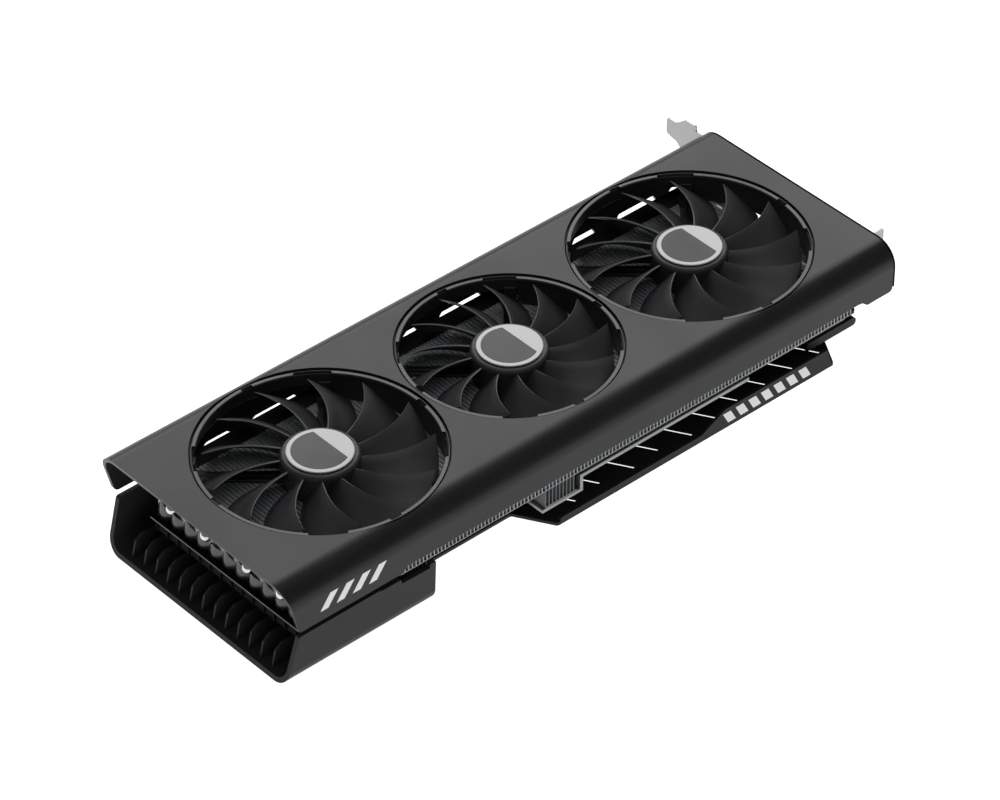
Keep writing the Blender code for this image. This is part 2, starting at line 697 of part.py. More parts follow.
def make_base_plate():
    low, riser, high = PLATE_X
    sheet = [(low, PLATE_LOW_Z), (riser + PLATE_THICK, PLATE_LOW_Z),
             (riser + PLATE_THICK, PLATE_HIGH_Z), (high, PLATE_HIGH_Z),
             (high, PLATE_HIGH_Z + PLATE_THICK), (riser, PLATE_HIGH_Z + PLATE_THICK),
             (riser, PLATE_LOW_Z + PLATE_THICK), (low, PLATE_LOW_Z + PLATE_THICK)]
    plate = prism("base_plate", [sheet], PLATE_NEAR_Y, FIN_FAR_Y, "XZ", ALUMINIUM)
    reach = PIPE_R + 1.3
    window = box("plate_window",
                 (riser - 2.3, PIPE_CHANNEL_Y[0] - reach, PLATE_LOW_Z - 1),
                 (GPU_X + COLD_PLATE_HALF + 2, PIPE_CHANNEL_Y[-1] + reach, PLATE_HIGH_Z + 5))
    boolean(plate, window)
    strip = box("plate_strip", (GPU_X + 39.0, PLATE_NEAR_Y - 1, PLATE_HIGH_Z - 1),
                (high + 1, STEP_FIN_Y[1], PLATE_HIGH_Z + 5))
    boolean(plate, strip)


def make_fin_rail():
    legs = [((x, RAIL_Y[1] - 1.5, BOARD_Z + BOARD_THICK + GAP), (x + 8.0, RAIL_Y[1], RAIL_Z[0] + 1))
            for x in RAIL_LEGS_X]
    rail = box("fin_rail", (FIN_TAIL_X, RAIL_Y[0], RAIL_Z[0]),
               (BOARD_FRONT_X - 1, RAIL_Y[1] + 0.1, RAIL_Z[1]), BLACK_METAL)
    boolean(rail, boxes("rail_legs", legs), "UNION")


def screw_places():
    return [(GPU_X + sx * SCREW_SPACING, GPU_Y + sy * SCREW_SPACING)
            for sx in (-1, 1) for sy in (-1, 1)]


def make_board():
    tab = [(BOARD_TAIL_X, BOARD_FAR_Y), (BOARD_TAIL_X, POWER_RECESS_Y),
           (POWER_RECESS_X, POWER_RECESS_Y, 1.0), (POWER_RECESS_X, BOARD_NEAR_Y, 1.0),
           (BOARD_FRONT_X, BOARD_NEAR_Y, 1.5), (BOARD_FRONT_X, BOARD_FAR_Y, 1.5),
           (EDGE_X[1], BOARD_FAR_Y, 1.0), (EDGE_X[1], EDGE_Y, 1.2),
           (KEY_X + KEY_WIDTH / 2, EDGE_Y), (KEY_X + KEY_WIDTH / 2, BOARD_FAR_Y + 3, 0.9),
           (KEY_X - KEY_WIDTH / 2, BOARD_FAR_Y + 3, 0.9), (KEY_X - KEY_WIDTH / 2, EDGE_Y),
           (EDGE_X[0], EDGE_Y, 1.2), (EDGE_X[0], BOARD_FAR_Y + 3), (EDGE_X[0] - 3, BOARD_FAR_Y + 3),
           (EDGE_X[0] - 3, EDGE_Y - 3, 1.0), (EDGE_X[0] - 8, EDGE_Y - 3, 1.0),
           (EDGE_X[0] - 8, BOARD_FAR_Y, 1.0)]
    holes = [circle(place, SCREW_R + GAP) for place in screw_places()]
    prism("board", [rounded(tab, 3)] + holes, BOARD_Z, BOARD_Z + BOARD_THICK, "XY", BOARD_MASK)


def on_board(name, centre, size, thickness, paint, lift=GAP):
    low = BOARD_Z + BOARD_THICK + lift
    return box(name, (centre[0] - size[0] / 2, centre[1] - size[1] / 2, low),
               (centre[0] + size[0] / 2, centre[1] + size[1] / 2, low + thickness), paint)


def make_chips():
    package = (2 * PACKAGE_HALF, 2 * PACKAGE_HALF)
    on_board("processor_package", (GPU_X, GPU_Y), package, PACKAGE_THICK, BOARD_MASK)
    on_board("processor_die", (GPU_X, GPU_Y), DIE_SIZE, DIE_THICK, DIE_GLASS,
             lift=PACKAGE_THICK + 2 * GAP)
    places = [(GPU_X + side * MEMORY_OFFSET, GPU_Y + row * MEMORY_PITCH)
              for side in (-1, 1) for row in (-1, 0, 1)]
    places += [(GPU_X + side * MEMORY_PITCH / 2, GPU_Y + MEMORY_OFFSET + 3.0) for side in (-1, 1)]
    for index, place in enumerate(places):
        on_board("memory_chip_%d" % (index + 1), place, MEMORY_SIZE, MEMORY_THICK, CHIP)
    low = BOARD_Z + BOARD_THICK + PACKAGE_THICK + DIE_THICK + 3 * GAP
    half = COLD_PLATE_HALF
    box("cold_plate", (GPU_X - half, GPU_Y - half, low),
        (GPU_X + half, GPU_Y + half, low + COLD_PLATE_THICK), COPPER)


def make_retention():
    """Sprung cross behind the processor, held by four screws."""
    reach = SCREW_SPACING * math.sqrt(2)
    low = BACK_THICK + 1.0
    cross = []
    for arm in range(4):
        angle = math.radians(45 + 90 * arm)
        out = Vector((math.cos(angle), math.sin(angle)))
        side = Vector((-out.y, out.x))
        inner = math.radians(90 + 90 * arm)
        cross += [tuple(out * (reach + 4) - side * 3.5), tuple(out * (reach + 4) + side * 3.5),
                  (8.0 * math.cos(inner), 8.0 * math.sin(inner))]
    outline = [(GPU_X + u, GPU_Y + v) for u, v in cross]
    holes = [circle(place, SCREW_R + GAP) for place in screw_places()]
    prism("retention_plate", [outline] + holes, low, low + 1.2, "XY", STEEL)
    for index, place in enumerate(screw_places()):
        profile = [(0.0, BOARD_Z + BOARD_THICK + 2.0), (SCREW_R, BOARD_Z + BOARD_THICK + 2.0),
                   (SCREW_R, low - GAP), (SCREW_HEAD_R, low - GAP), (SCREW_HEAD_R, 0.6),
                   (0.0, 0.6)]
        turned("retention_screw_%d" % (index + 1), profile, place, STEEL, steps=12)


def socket(name, low, size, mouth, cavity, mouth_axis, paint):
    """Connector body with a blind cavity that opens at its mouth."""
    high = tuple(a + b for a, b in zip(low, size))
    body = box(name, low, high, paint)
    centre = [(a + b) / 2 for a, b in zip(low, high)]
    inside_low = [c - s / 2 for c, s in zip(centre, cavity)]
    inside_high = [c + s / 2 for c, s in zip(centre, cavity)]
    if mouth > 0:
        inside_high[mouth_axis] = high[mouth_axis] + 1
        inside_low[mouth_axis] = high[mouth_axis] - cavity[mouth_axis]
    else:
        inside_low[mouth_axis] = low[mouth_axis] - 1
        inside_high[mouth_axis] = low[mouth_axis] + cavity[mouth_axis]
    boolean(body, box(name + "_cavity", inside_low, inside_high))
    return body


def display_places():
    places = [("displayport_%d" % (i + 1), y, DISPLAY_CAVITY) for i, y in enumerate(DISPLAY_Y)]
    places.append(("hdmi_socket", HDMI_Y, HDMI_CAVITY))
    return places


def make_sockets():
    top = BOARD_Z + BOARD_THICK + GAP
    for index, x in enumerate(POWER_X):
        socket("power_socket_%d" % (index + 1), (x - POWER_SIZE[0] / 2, POWER_FACE_Y, top),
               POWER_SIZE, -1, POWER_CAVITY, 1, BLACK_PLASTIC)
    front = BRACKET_X + BRACKET_THICK + GAP
    for name, y, cavity in display_places():
        socket(name, (front - DISPLAY_SIZE[0], y - DISPLAY_SIZE[1] / 2, top),
               DISPLAY_SIZE, 1, cavity, 0, STEEL)


def make_rear_end_cover():
    wall = COVER_WALL
    top = COVER_TOP + 1
    outer = rounded([(COVER_HALF_TOP, top), (COVER_HALF_LOW, 0.0, COVER_CORNER),
                     (-COVER_HALF_LOW, 0.0, COVER_CORNER), (-COVER_HALF_TOP, top)], 8)
    inner = rounded([(-COVER_HALF_TOP + wall, top), (-COVER_HALF_LOW + wall, wall,
                                                     COVER_CORNER - wall),
                     (COVER_HALF_LOW - wall, wall, COVER_CORNER - wall),
                     (COVER_HALF_TOP - wall, top)], 8)
    cover = prism("rear_end_cover", [outer + inner], SHROUD_TAIL_X, COVER_FRONT_X, "YZ",
                  BLACK_PLASTIC)
    half = RIB_PITCH * (RIBS - 1) / 2
    tail = SHROUD_TAIL_X + 3.0
    rib = [(tail, wall - 0.5), (tail + 2.2, RIB_TOP), (RIB_END_X, RIB_TOP), (RIB_END_X, wall - 0.5)]
    shape = bmesh.new()
    for index in range(RIBS):
        y = index * RIB_PITCH - half
        one = prism("rib", [rib], y - RIB_THICK / 2, y + RIB_THICK / 2, "XZ")
        shape.from_mesh(one.data)
        bpy.data.objects.remove(one)
    boolean(cover, add_object("ribs", mesh_from("ribs", shape)), "UNION")
    lean = COVER_RAKE / COVER_TOP
    front = COVER_FRONT_X
    side = rounded([
        (SHROUD_TAIL_X - lean, -1), (front + 1, -1), (front + 1, COVER_POST_TOP - 0.6),
        (front - 0.6, COVER_POST_TOP, 0.5), (front - 2.9, COVER_POST_TOP, 0.8),
        (front - 3.3, COVER_TOP - 3.4), (front - 17.4, COVER_TOP - 3.0),
        (front - 18.2, COVER_TOP - 0.8), (front - 28.6, COVER_TOP - 0.6),
        (front - 29.0, COVER_TOP), (SHROUD_TAIL_X + COVER_RAKE, COVER_TOP, 1.5)], 4)
    boolean(cover, prism("cover_side", [side], -COVER_HALF_TOP - 1, COVER_HALF_TOP + 1, "XZ"),
            "INTERSECT")


def slanted_slot(x, y_inner, y_outer, width):
    """Slot outline along the slanted direction; x is where it crosses Y = -45."""
    def at(y):
        return x + (-45.0 - y) * DIAGONAL
    half = width / 2 * math.sqrt(1 + DIAGONAL * DIAGONAL)
    return [(at(y_inner) - half, y_inner), (at(y_inner) + half, y_inner),
            (at(y_outer) + half, y_outer), (at(y_outer) - half, y_outer)]


def make_backplate():
    rise = BACK_POWER_Y - BACK_NEAR_Y
    front_rise = BACK_FRONT_Y - BACK_NEAR_Y
    start = COVER_FRONT_X + GAP
    outline = [
        (start, BACK_FAR_Y, 2.0), (start, BACK_POWER_Y, 1.0),
        (OVERHANG_X[0] - rise * DIAGONAL, BACK_POWER_Y, 1.5),
        (OVERHANG_X[0], BACK_NEAR_Y, 2.0), (OVERHANG_X[1], BACK_NEAR_Y, 0.8),
        (OVERHANG_X[1] + front_rise * DIAGONAL, BACK_FRONT_Y, 1.5),
        (BACK_FRONT_X, BACK_FRONT_Y, 1.0), (BACK_FRONT_X, BACK_FAR_Y, 2.0)]
    holes = []
    for index in range(SLOTS):
        out = index * SLOT_ECHELON
        holes.append(slanted_slot(SLOT_FIRST_X + index * SLOT_PITCH, SLOT_Y[0] - out,
                                  SLOT_Y[2 - index % 2] - out, SLOT_WIDTH))
    half = WINDOW_HALF
    holes.append(rectangle(GPU_X - half, GPU_Y - half, GPU_X + half, GPU_Y + half, 3.0))
    plate = prism("backplate", [rounded(outline, 4)] + holes, 0.0, BACK_THICK, "XY", BLACK_METAL)
    fence = rounded([
        (OVERHANG_X[0] + 1.4, 0.4), (OVERHANG_X[1] - 0.6, 0.4),
        (PANEL_X[2], PANEL_HEIGHT, 0.8), (PANEL_X[1], PANEL_HEIGHT, 3.0),
        (PANEL_X[0], FLANGE_HEIGHT, 3.0), (OVERHANG_X[0] + 1.4, FLANGE_HEIGHT, 1.5)], 4)
    near = BACK_NEAR_Y + 0.01
    boolean(plate, prism("flange", [fence], near, near + FLANGE_THICK, "XZ"), "UNION")


def tongue(z_shift):
    """Upper edge, tip and lower edge of one slot tongue, from the top down."""
    points = [(62.8, 43.4), (62.9, 46.0, 0.8), (69.5, 45.7, 1.0), (74.7, 41.4, 1.0),
              (BRACKET_TIP_Y, 41.2, 1.5), (BRACKET_TIP_Y, 33.0, 1.5), (74.6, 31.8, 1.0),
              (71.0, 28.5, 1.0)]
    return [(p[0], p[1] - z_shift, *p[2:]) for p in points]


def make_bracket():
    low, high = BRACKET_Z
    upper = tongue(0.0)
    lower = tongue(SLOT_STEP)[3:]
    outline = [(BRACKET_FLANGE_Y - BRACKET_THICK, high)] + upper + lower
    outline += [(62.0, low, 1.0), (BRACKET_FLANGE_Y + 4.0, low, 1.0),
                (BRACKET_FLANGE_Y, FLANGE_LOW_Z), (BRACKET_FLANGE_Y - BRACKET_THICK, FLANGE_LOW_Z)]
    outline.reverse()
    outer = BRACKET_X + BRACKET_THICK
    top = BOARD_Z + BOARD_THICK + GAP
    half = DISPLAY_SIZE[1] / 2 + GAP
    holes = [rectangle(y - half, top - GAP, y + half, top + DISPLAY_SIZE[2] + GAP)
             for _, y, _ in display_places()]
    first = BRACKET_FLANGE_Y + 12.0
    holes += [rectangle(first + i * VENT_PITCH, VENT_Z[0], first + i * VENT_PITCH + VENT_WIDTH,
                        VENT_Z[1]) for i in range(VENTS)]
    holes += [circle(place, SCREW_R + GAP) for place in bracket_screws()]
    bracket = prism("io_bracket", [rounded(outline, 3)] + holes, BRACKET_X, outer, "YZ", STEEL)
    reach = BRACKET_X + BRACKET_FLANGE_LENGTH
    notch = reach - FLANGE_NOTCH_DEPTH
    flange = rounded([
        (outer - 0.5, FLANGE_LOW_Z), (reach, FLANGE_LOW_Z, 1.2), (reach, 11.5),
        (notch, 11.5, 1.7), (notch, 15.1, 1.7), (reach, 15.1),
        (reach, 11.5 + SLOT_STEP), (notch, 11.5 + SLOT_STEP, 1.7),
        (notch, 15.1 + SLOT_STEP, 1.7), (reach, 15.1 + SLOT_STEP),
        (reach, high, 1.5), (outer - 0.5, high)], 4)
    y = BRACKET_FLANGE_Y
    boolean(bracket, prism("bracket_flange", [flange], y - BRACKET_THICK + 0.01, y, "XZ"), "UNION")
    for index, (y, z) in enumerate(bracket_screws()):
        screw = cylinder("bracket_screw_%d" % (index + 1), (y, z), SCREW_R, BRACKET_X - 6.0,
                         outer + GAP + 0.5, STEEL, sides=16, axis="X")
        head = cylinder("screw_head", (y, z), 2.6, outer + GAP, outer + GAP + 1.2, sides=16,
                        axis="X")
        boolean(screw, head, "UNION")


def bracket_screws():
    return ((BRACKET_FLANGE_Y + 5.0, BRACKET_Z[0] + 8.0), (59.0, BRACKET_Z[0] + 8.0))


def make_stiffener():
    bar = [(STIFFENER_X[0], STIFFENER_Z[0]), (STIFFENER_X[1], STIFFENER_Z[0], 1.8),
           (STIFFENER_X[1], STIFFENER_Z[1], 1.8), (STIFFENER_X[0], STIFFENER_Z[1])]
    prism("board_stiffener", [rounded(bar, 5)], STIFFENER_Y[0], STIFFENER_Y[1], "XZ",
          BLACK_METAL)


def build_card():
    make_shroud()
    make_end_trim()
    for name, x, opening, tip_angle in FANS:
        make_fan_frame(name, x, opening)
        make_impeller(name, x, opening, tip_angle)
        make_rotor(name, x)
        make_stator(name, x)
        make_bearing(name, x)
    make_fin_stack()
    make_heat_pipes()
    make_base_plate()
    make_fin_rail()
    make_board()
    make_chips()
    make_retention()
    make_sockets()
    make_rear_end_cover()
    make_backplate()
    make_bracket()
    make_stiffener()


build_card()
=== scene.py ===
"""Looks of the triple-fan graphics card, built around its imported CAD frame.

Lengths are written in millimetres in the frame of the CAD model: +X runs
towards the I/O bracket, +Y towards the edge connector and +Z up to the fans.
"""
import json
import math

import bmesh
import bpy
from mathutils import Matrix, Vector


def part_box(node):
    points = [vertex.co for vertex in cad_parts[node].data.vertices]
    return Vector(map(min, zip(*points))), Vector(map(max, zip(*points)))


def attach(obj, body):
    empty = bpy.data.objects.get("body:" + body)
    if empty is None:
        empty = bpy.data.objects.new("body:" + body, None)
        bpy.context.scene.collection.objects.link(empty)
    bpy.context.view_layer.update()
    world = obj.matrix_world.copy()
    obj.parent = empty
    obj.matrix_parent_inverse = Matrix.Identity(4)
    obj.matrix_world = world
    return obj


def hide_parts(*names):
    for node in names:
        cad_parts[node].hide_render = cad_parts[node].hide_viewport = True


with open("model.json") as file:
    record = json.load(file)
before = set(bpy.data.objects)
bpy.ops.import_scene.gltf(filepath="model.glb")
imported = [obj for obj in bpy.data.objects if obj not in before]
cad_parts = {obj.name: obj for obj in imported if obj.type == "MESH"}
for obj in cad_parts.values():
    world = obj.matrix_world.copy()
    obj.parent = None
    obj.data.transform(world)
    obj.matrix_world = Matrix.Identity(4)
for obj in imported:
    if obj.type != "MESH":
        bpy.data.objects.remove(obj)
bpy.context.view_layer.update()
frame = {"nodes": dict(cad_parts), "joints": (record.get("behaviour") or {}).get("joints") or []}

MM = 0.001
TAU = 2 * math.pi
SCENE = bpy.context.scene


def span(node):
    """Lowest and highest corner of a CAD node, in millimetres."""
    low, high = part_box(node)
    return low / MM, high / MM


SHROUD_LOW, SHROUD_HIGH = span("shroud")
SHROUD_WALL = 1.8
SHROUD_CORNER = 10.5
SHROUD_RAKE = 6.3              # how far the tail end leans back towards its lower edge
NEAR_EDGE_Z = 30.5
NEAR_TAIL_Z = 28.0             # lower edge of the near side at the tail
NEAR_FRONT_Z = 27.7            # the same at the bracket
FAR_EDGE_Z = 26.3
FAR_TABS_X = (-122.0, 142.0)   # stretch of the far edge that has tabs
TAB_OVER_COVER_Z = 24.4        # foot of the tabs above the end cover
FAR_WINDOWS = ((-13.9, -0.9), (11.5, 34.5))    # openings in the far edge, about each fan
FAR_WINDOW_Z = {"tail": 26.0, "middle": 26.8, "bracket": 27.4}
COVER_LOW, COVER_HIGH = span("rear_end_cover")
BACK_LOW, BACK_HIGH = span("backplate")
FIN_LOW, FIN_HIGH = span("fin_stack")
BOARD_LOW, BOARD_HIGH = span("board")
PACKAGE_LOW, PACKAGE_HIGH = span("processor_package")
GPU = (PACKAGE_LOW + PACKAGE_HIGH) / 2
FAN_NAMES = ("tail", "middle", "bracket")
TIP_ANGLE = {"tail": 56.3, "middle": 62.8, "bracket": 56.6}
BLADES = 13
BLADE_REACH = 0.9              # share of the opening's radius
BLADE_TOP = 47.2               # leading edge at the hub
BLADE_FOOT = 38.0
BLADE_RISE = 1.4               # how much higher the leading edge is at the tip
BLADE_COVER = (25.0, 21.0)     # degrees that a blade covers at the hub and at the tip
BLADE_SWEEP = 17.2             # degrees that the hub end is behind the tip
BLADE_BOW = 2.0
HUB_RADIUS = 16.3
LIP_NOTCHES = ((44.6, 62.4), (82.8, 88.8))     # degrees, in each quarter turn
ARM_ANGLES = (48.0, 138.0, 228.0, 318.0)
ARM_WIDTH = 5.0
POLES = 9
SLANT = 0.59                   # X per Y of the backplate's slanted edges and slots


# ---------------------------------------------------------------- materials

def textured(name, colour, roughness, metallic=0.0, grain=0.3, depth=0.02, tint=0.1,
             spread=0.05, stretch=(1.0, 1.0, 1.0), patch=30.0, specular=0.5):
    """Finish with fine grain, broad patches and a bump, all from noise.

    Grain, depth and patch are in millimetres. Stretch pulls the grain out
    into brushed lines.
    """
    made = bpy.data.materials.new(name)
    made.use_nodes = True
    tree = made.node_tree
    new = tree.nodes.new
    shader = tree.nodes["Principled BSDF"]
    shader.inputs["Metallic"].default_value = metallic
    shader.inputs["Specular IOR Level"].default_value = specular
    coords = new("ShaderNodeTexCoord")
    scale = new("ShaderNodeMapping")
    scale.inputs["Scale"].default_value = [s / (grain * MM) for s in stretch]
    fine = new("ShaderNodeTexNoise")
    fine.inputs["Scale"].default_value = 1.0
    fine.inputs["Detail"].default_value = 3.0
    broad = new("ShaderNodeTexNoise")
    broad.inputs["Scale"].default_value = 1.0 / (patch * MM)
    broad.inputs["Detail"].default_value = 4.0
    tree.links.new(coords.outputs["Object"], scale.inputs["Vector"])
    tree.links.new(scale.outputs["Vector"], fine.inputs["Vector"])
    tree.links.new(coords.outputs["Object"], broad.inputs["Vector"])
    blend = new("ShaderNodeMath")
    blend.operation = "ADD"
    tree.links.new(fine.outputs["Fac"], blend.inputs[0])
    tree.links.new(broad.outputs["Fac"], blend.inputs[1])
    ramp = new("ShaderNodeMapRange")
    ramp.inputs["From Min"].default_value = 0.6
    ramp.inputs["From Max"].default_value = 1.4
    tree.links.new(blend.outputs["Value"], ramp.inputs["Value"])
    mix = new("ShaderNodeMix")
    mix.data_type = "RGBA"
    dark = [c * (1 - tint) for c in colour]
    light = [min(1.0, c * (1 + tint)) for c in colour]
    mix.inputs[6].default_value = (*dark, 1.0)
    mix.inputs[7].default_value = (*light, 1.0)
    tree.links.new(ramp.outputs["Result"], mix.inputs[0])
    tree.links.new(mix.outputs[2], shader.inputs["Base Color"])
    rough = new("ShaderNodeMapRange")
    rough.inputs["From Min"].default_value = 0.3
    rough.inputs["From Max"].default_value = 0.7
    rough.inputs["To Min"].default_value = max(0.02, roughness - spread)
    rough.inputs["To Max"].default_value = min(1.0, roughness + spread)
    tree.links.new(broad.outputs["Fac"], rough.inputs["Value"])
    tree.links.new(rough.outputs["Result"], shader.inputs["Roughness"])
    bump = new("ShaderNodeBump")
    bump.inputs["Distance"].default_value = depth * MM
    bump.inputs["Strength"].default_value = 1.0
    tree.links.new(fine.outputs["Fac"], bump.inputs["Height"])
    tree.links.new(bump.outputs["Normal"], shader.inputs["Normal"])
    return made


PAINT = textured("shroud_satin", (0.012, 0.012, 0.0125), 0.36, grain=0.30, depth=0.006,
                 tint=0.07, spread=0.03, specular=0.24)
NEAR_BLACK = textured("trim_black", (0.006, 0.006, 0.006), 0.6, grain=0.3, depth=0.006,
                      specular=0.05)
LINER = textured("shroud_inside", (0.010, 0.010, 0.011), 0.6, grain=0.4, depth=0.015)
PLASTIC = textured("frame_plastic", (0.018, 0.018, 0.019), 0.5, grain=0.35, depth=0.012)
LIP = textured("lip_plastic", (0.030, 0.030, 0.031), 0.42, grain=0.35, depth=0.010)
BLADE = textured("blade_plastic", (0.030, 0.030, 0.033), 0.38, grain=0.5, depth=0.006,
                 tint=0.06, patch=18.0)
HUB = textured("hub_plastic", (0.027, 0.027, 0.028), 0.48, grain=0.4, depth=0.008)
# Lighter colour for the blades' leading edge: a painted highlight along the edge.
BLADE_EDGE_HIGHLIGHT = textured("blade_edge_painted_highlight", (0.20, 0.20, 0.205), 0.40, grain=0.5, depth=0.004)
SILVER = textured("badge_silver", (0.55, 0.55, 0.55), 0.45, metallic=0.10, grain=0.25,
                  depth=0.004, tint=0.03)
INSET = textured("badge_inset", (0.020, 0.020, 0.0205), 0.5, grain=0.25, depth=0.005, tint=0.05)
PRINT = textured("white_print", (0.86, 0.86, 0.86), 0.5, grain=0.2, depth=0.004, tint=0.03)
FIN = textured("fin_foil", (0.40, 0.43, 0.45), 0.42, metallic=0.2, grain=0.5, depth=0.01,
               tint=0.14, stretch=(1.0, 0.06, 1.0))
# Same fin foil, darker: painted shade on the fins of the lower blocks.
FIN_PAINTED_SHADE = textured("fin_foil_painted_shade", (0.14, 0.145, 0.15), 0.45, metallic=0.2, grain=0.5,
                     depth=0.01, tint=0.14, stretch=(1.0, 0.06, 1.0))
# Foil of the outermost fin, much darker than the other fins: painted shade.
WAVE_PAINTED_SHADE = textured("tail_fin_foil_painted_shade", (0.085, 0.087, 0.09), 0.25, metallic=0.8, grain=0.6, depth=0.01,
                tint=0.12, stretch=(1.0, 1.0, 0.1))
# Foil colour of the fin folds; also the pale rim on the tail tray, a painted highlight.
FOIL_EDGE_AND_HIGHLIGHT = textured("cut_foil_edge_and_painted_highlight", (0.24, 0.24, 0.24), 0.4, metallic=0.4, grain=0.4, depth=0.01,
                tint=0.12)
ALUMINIUM = textured("milled_aluminium", (0.27, 0.275, 0.28), 0.36, metallic=0.7, grain=0.5,
                     depth=0.012, tint=0.08, stretch=(0.04, 1.0, 1.0))
STEEL = textured("bracket_steel", (0.36, 0.36, 0.365), 0.34, metallic=0.7, grain=0.4, depth=0.008,
                 tint=0.05, stretch=(1.0, 0.03, 1.0))
NICKEL = textured("pipe_nickel", (0.62, 0.61, 0.60), 0.22, metallic=1.0, grain=0.6, depth=0.006,
                  tint=0.08, stretch=(0.08, 1.0, 1.0))
COPPER = textured("copper", (0.66, 0.34, 0.22), 0.30, metallic=1.0, grain=0.5, depth=0.008,
                  tint=0.12)
BLACK_METAL = textured("black_anodised", (0.022, 0.020, 0.019), 0.42, grain=0.35,
                       specular=0.12, depth=0.006, stretch=(0.15, 1.0, 1.0))
COVER = textured("cover_plastic", (0.030, 0.030, 0.0305), 0.46, grain=0.4, depth=0.012,
                 specular=0.12)
GOLD = textured("contact_gold", (0.80, 0.58, 0.24), 0.25, metallic=1.0, grain=0.4, depth=0.004)
RESIN = textured("chip_resin", (0.022, 0.022, 0.024), 0.55, grain=0.18, depth=0.008)
CHOKE = textured("choke_ferrite", (0.085, 0.085, 0.088), 0.5, grain=0.25, depth=0.02, tint=0.2)
SILICON = textured("die_silicon", (0.20, 0.21, 0.25), 0.12, metallic=0.7, grain=0.8, depth=0.001,
                   tint=0.1, spread=0.03)
MAGNET = textured("sintered_metal", (0.06, 0.055, 0.05), 0.5, metallic=0.6, grain=0.2, depth=0.01)


def board_material():
    """Dark solder mask with faint rows of traces under it."""
    made = textured("solder_mask", (0.012, 0.015, 0.014), 0.40, grain=0.5, depth=0.006)
    tree = made.node_tree
    coords = next(n for n in tree.nodes if n.type == "TEX_COORD")
    shader = tree.nodes["Principled BSDF"]
    under = shader.inputs["Base Color"].links[0].from_socket
    bricks = tree.nodes.new("ShaderNodeTexBrick")
    bricks.inputs["Scale"].default_value = 1.0 / (4.0 * MM)
    bricks.inputs["Mortar Size"].default_value = 0.03
    bricks.inputs["Color1"].default_value = (0, 0, 0, 1)
    bricks.inputs["Color2"].default_value = (0, 0, 0, 1)
    bricks.inputs["Mortar"].default_value = (1, 1, 1, 1)
    mix = tree.nodes.new("ShaderNodeMix")
    mix.data_type = "RGBA"
    mix.inputs[7].default_value = (0.030, 0.040, 0.034, 1.0)
    tree.links.new(coords.outputs["Object"], bricks.inputs["Vector"])
    tree.links.new(bricks.outputs["Color"], mix.inputs[0])
    tree.links.new(under, mix.inputs[6])
    tree.links.new(mix.outputs[2], shader.inputs["Base Color"])
    return made


BOARD = board_material()


# ------------------------------------------------------------------- shapes

def piece(name, shape, *paints, angle=32.0):
    """Object from a bmesh drawn in millimetres."""
    bmesh.ops.remove_doubles(shape, verts=shape.verts, dist=0.001)
    bmesh.ops.scale(shape, vec=(MM, MM, MM), verts=shape.verts)
    bmesh.ops.recalc_face_normals(shape, faces=shape.faces)
    mesh = bpy.data.meshes.new(name)
    shape.to_mesh(mesh)
    shape.free()
    for paint in paints:
        mesh.materials.append(paint)
    mesh.shade_smooth()
    mesh.set_sharp_from_angle(angle=math.radians(angle))
    obj = bpy.data.objects.new(name, mesh)
    SCENE.collection.objects.link(obj)
    return obj


def block(shape, low, high):
    """Add a box between two corners to a bmesh."""
    low, high = Vector(low), Vector(high)
    size = Matrix.Diagonal((*(high - low), 1.0))
    bmesh.ops.create_cube(shape, size=1.0, matrix=Matrix.Translation((low + high) / 2) @ size)


def rounded(points, steps=6):
    """Closed outline from (u, v) or (u, v, radius) corners."""
    outline = []
    for index, point in enumerate(points):
        corner = Vector(point[:2])
        radius = point[2] if len(point) > 2 else 0.0
        if radius <= 0.0:
            outline.append(corner)
            continue
        before = (Vector(points[index - 1][:2]) - corner).normalized()
        after = (Vector(points[(index + 1) % len(points)][:2]) - corner).normalized()
        half = before.angle(after) / 2
        centre = corner + (before + after).normalized() * radius / math.sin(half)
        start = corner + before * radius / math.tan(half) - centre
        sweep = (math.pi - 2 * half) * (1 if before.cross(after) < 0 else -1)
        for step in range(steps + 1):
            outline.append(centre + Matrix.Rotation(sweep * step / steps, 2) @ start)
    return outline


def circle(centre, radius, sides):
    """Closed outline of a circle."""
    return [(centre[0] + radius * math.cos(TAU * i / sides),
             centre[1] + radius * math.sin(TAU * i / sides)) for i in range(sides)]


def extrude(shape, outline, low, high, plane="XY"):
    """Add a closed outline, drawn in a plane and extruded across it, to a bmesh."""
    order = {"XY": (0, 1, 2), "XZ": (0, 2, 1), "YZ": (1, 2, 0)}[plane]

    def corner(u, v, across):
        place = [0.0, 0.0, 0.0]
        for axis, value in zip(order, (u, v, across)):
            place[axis] = value
        return shape.verts.new(place)

    near = [corner(u, v, low) for u, v in outline]
    far = [corner(u, v, high) for u, v in outline]
    shape.faces.new(near)
    shape.faces.new(far)
    for index in range(len(outline)):
        shape.faces.new((near[index], near[index - 1], far[index - 1], far[index]))


def revolve(shape, profile, centre, steps=120, closed=True, angles=None):
    """Add a profile of (radius, z) points, turned about an upright axis, to a bmesh.

    The profile may also be a function of the angle.
    """
    rings = []
    for angle in angles or [TAU * i / steps for i in range(steps)]:
        points = profile(angle) if callable(profile) else profile
        rings.append([shape.verts.new((centre[0] + r * math.cos(angle),
                                       centre[1] + r * math.sin(angle), z)) for r, z in points])
    last = len(rings[0]) if closed else len(rings[0]) - 1
    for index, ring in enumerate(rings):
        following = rings[(index + 1) % len(rings)]
        for k in range(last):
            after = (k + 1) % len(ring)
            corners = [ring[k], ring[after], following[after], following[k]]
            distinct = []
            for vert in corners:
                if all((vert.co - other.co).length > 1e-6 for other in distinct):
                    distinct.append(vert)
            if len(distinct) > 2:
                shape.faces.new(distinct)


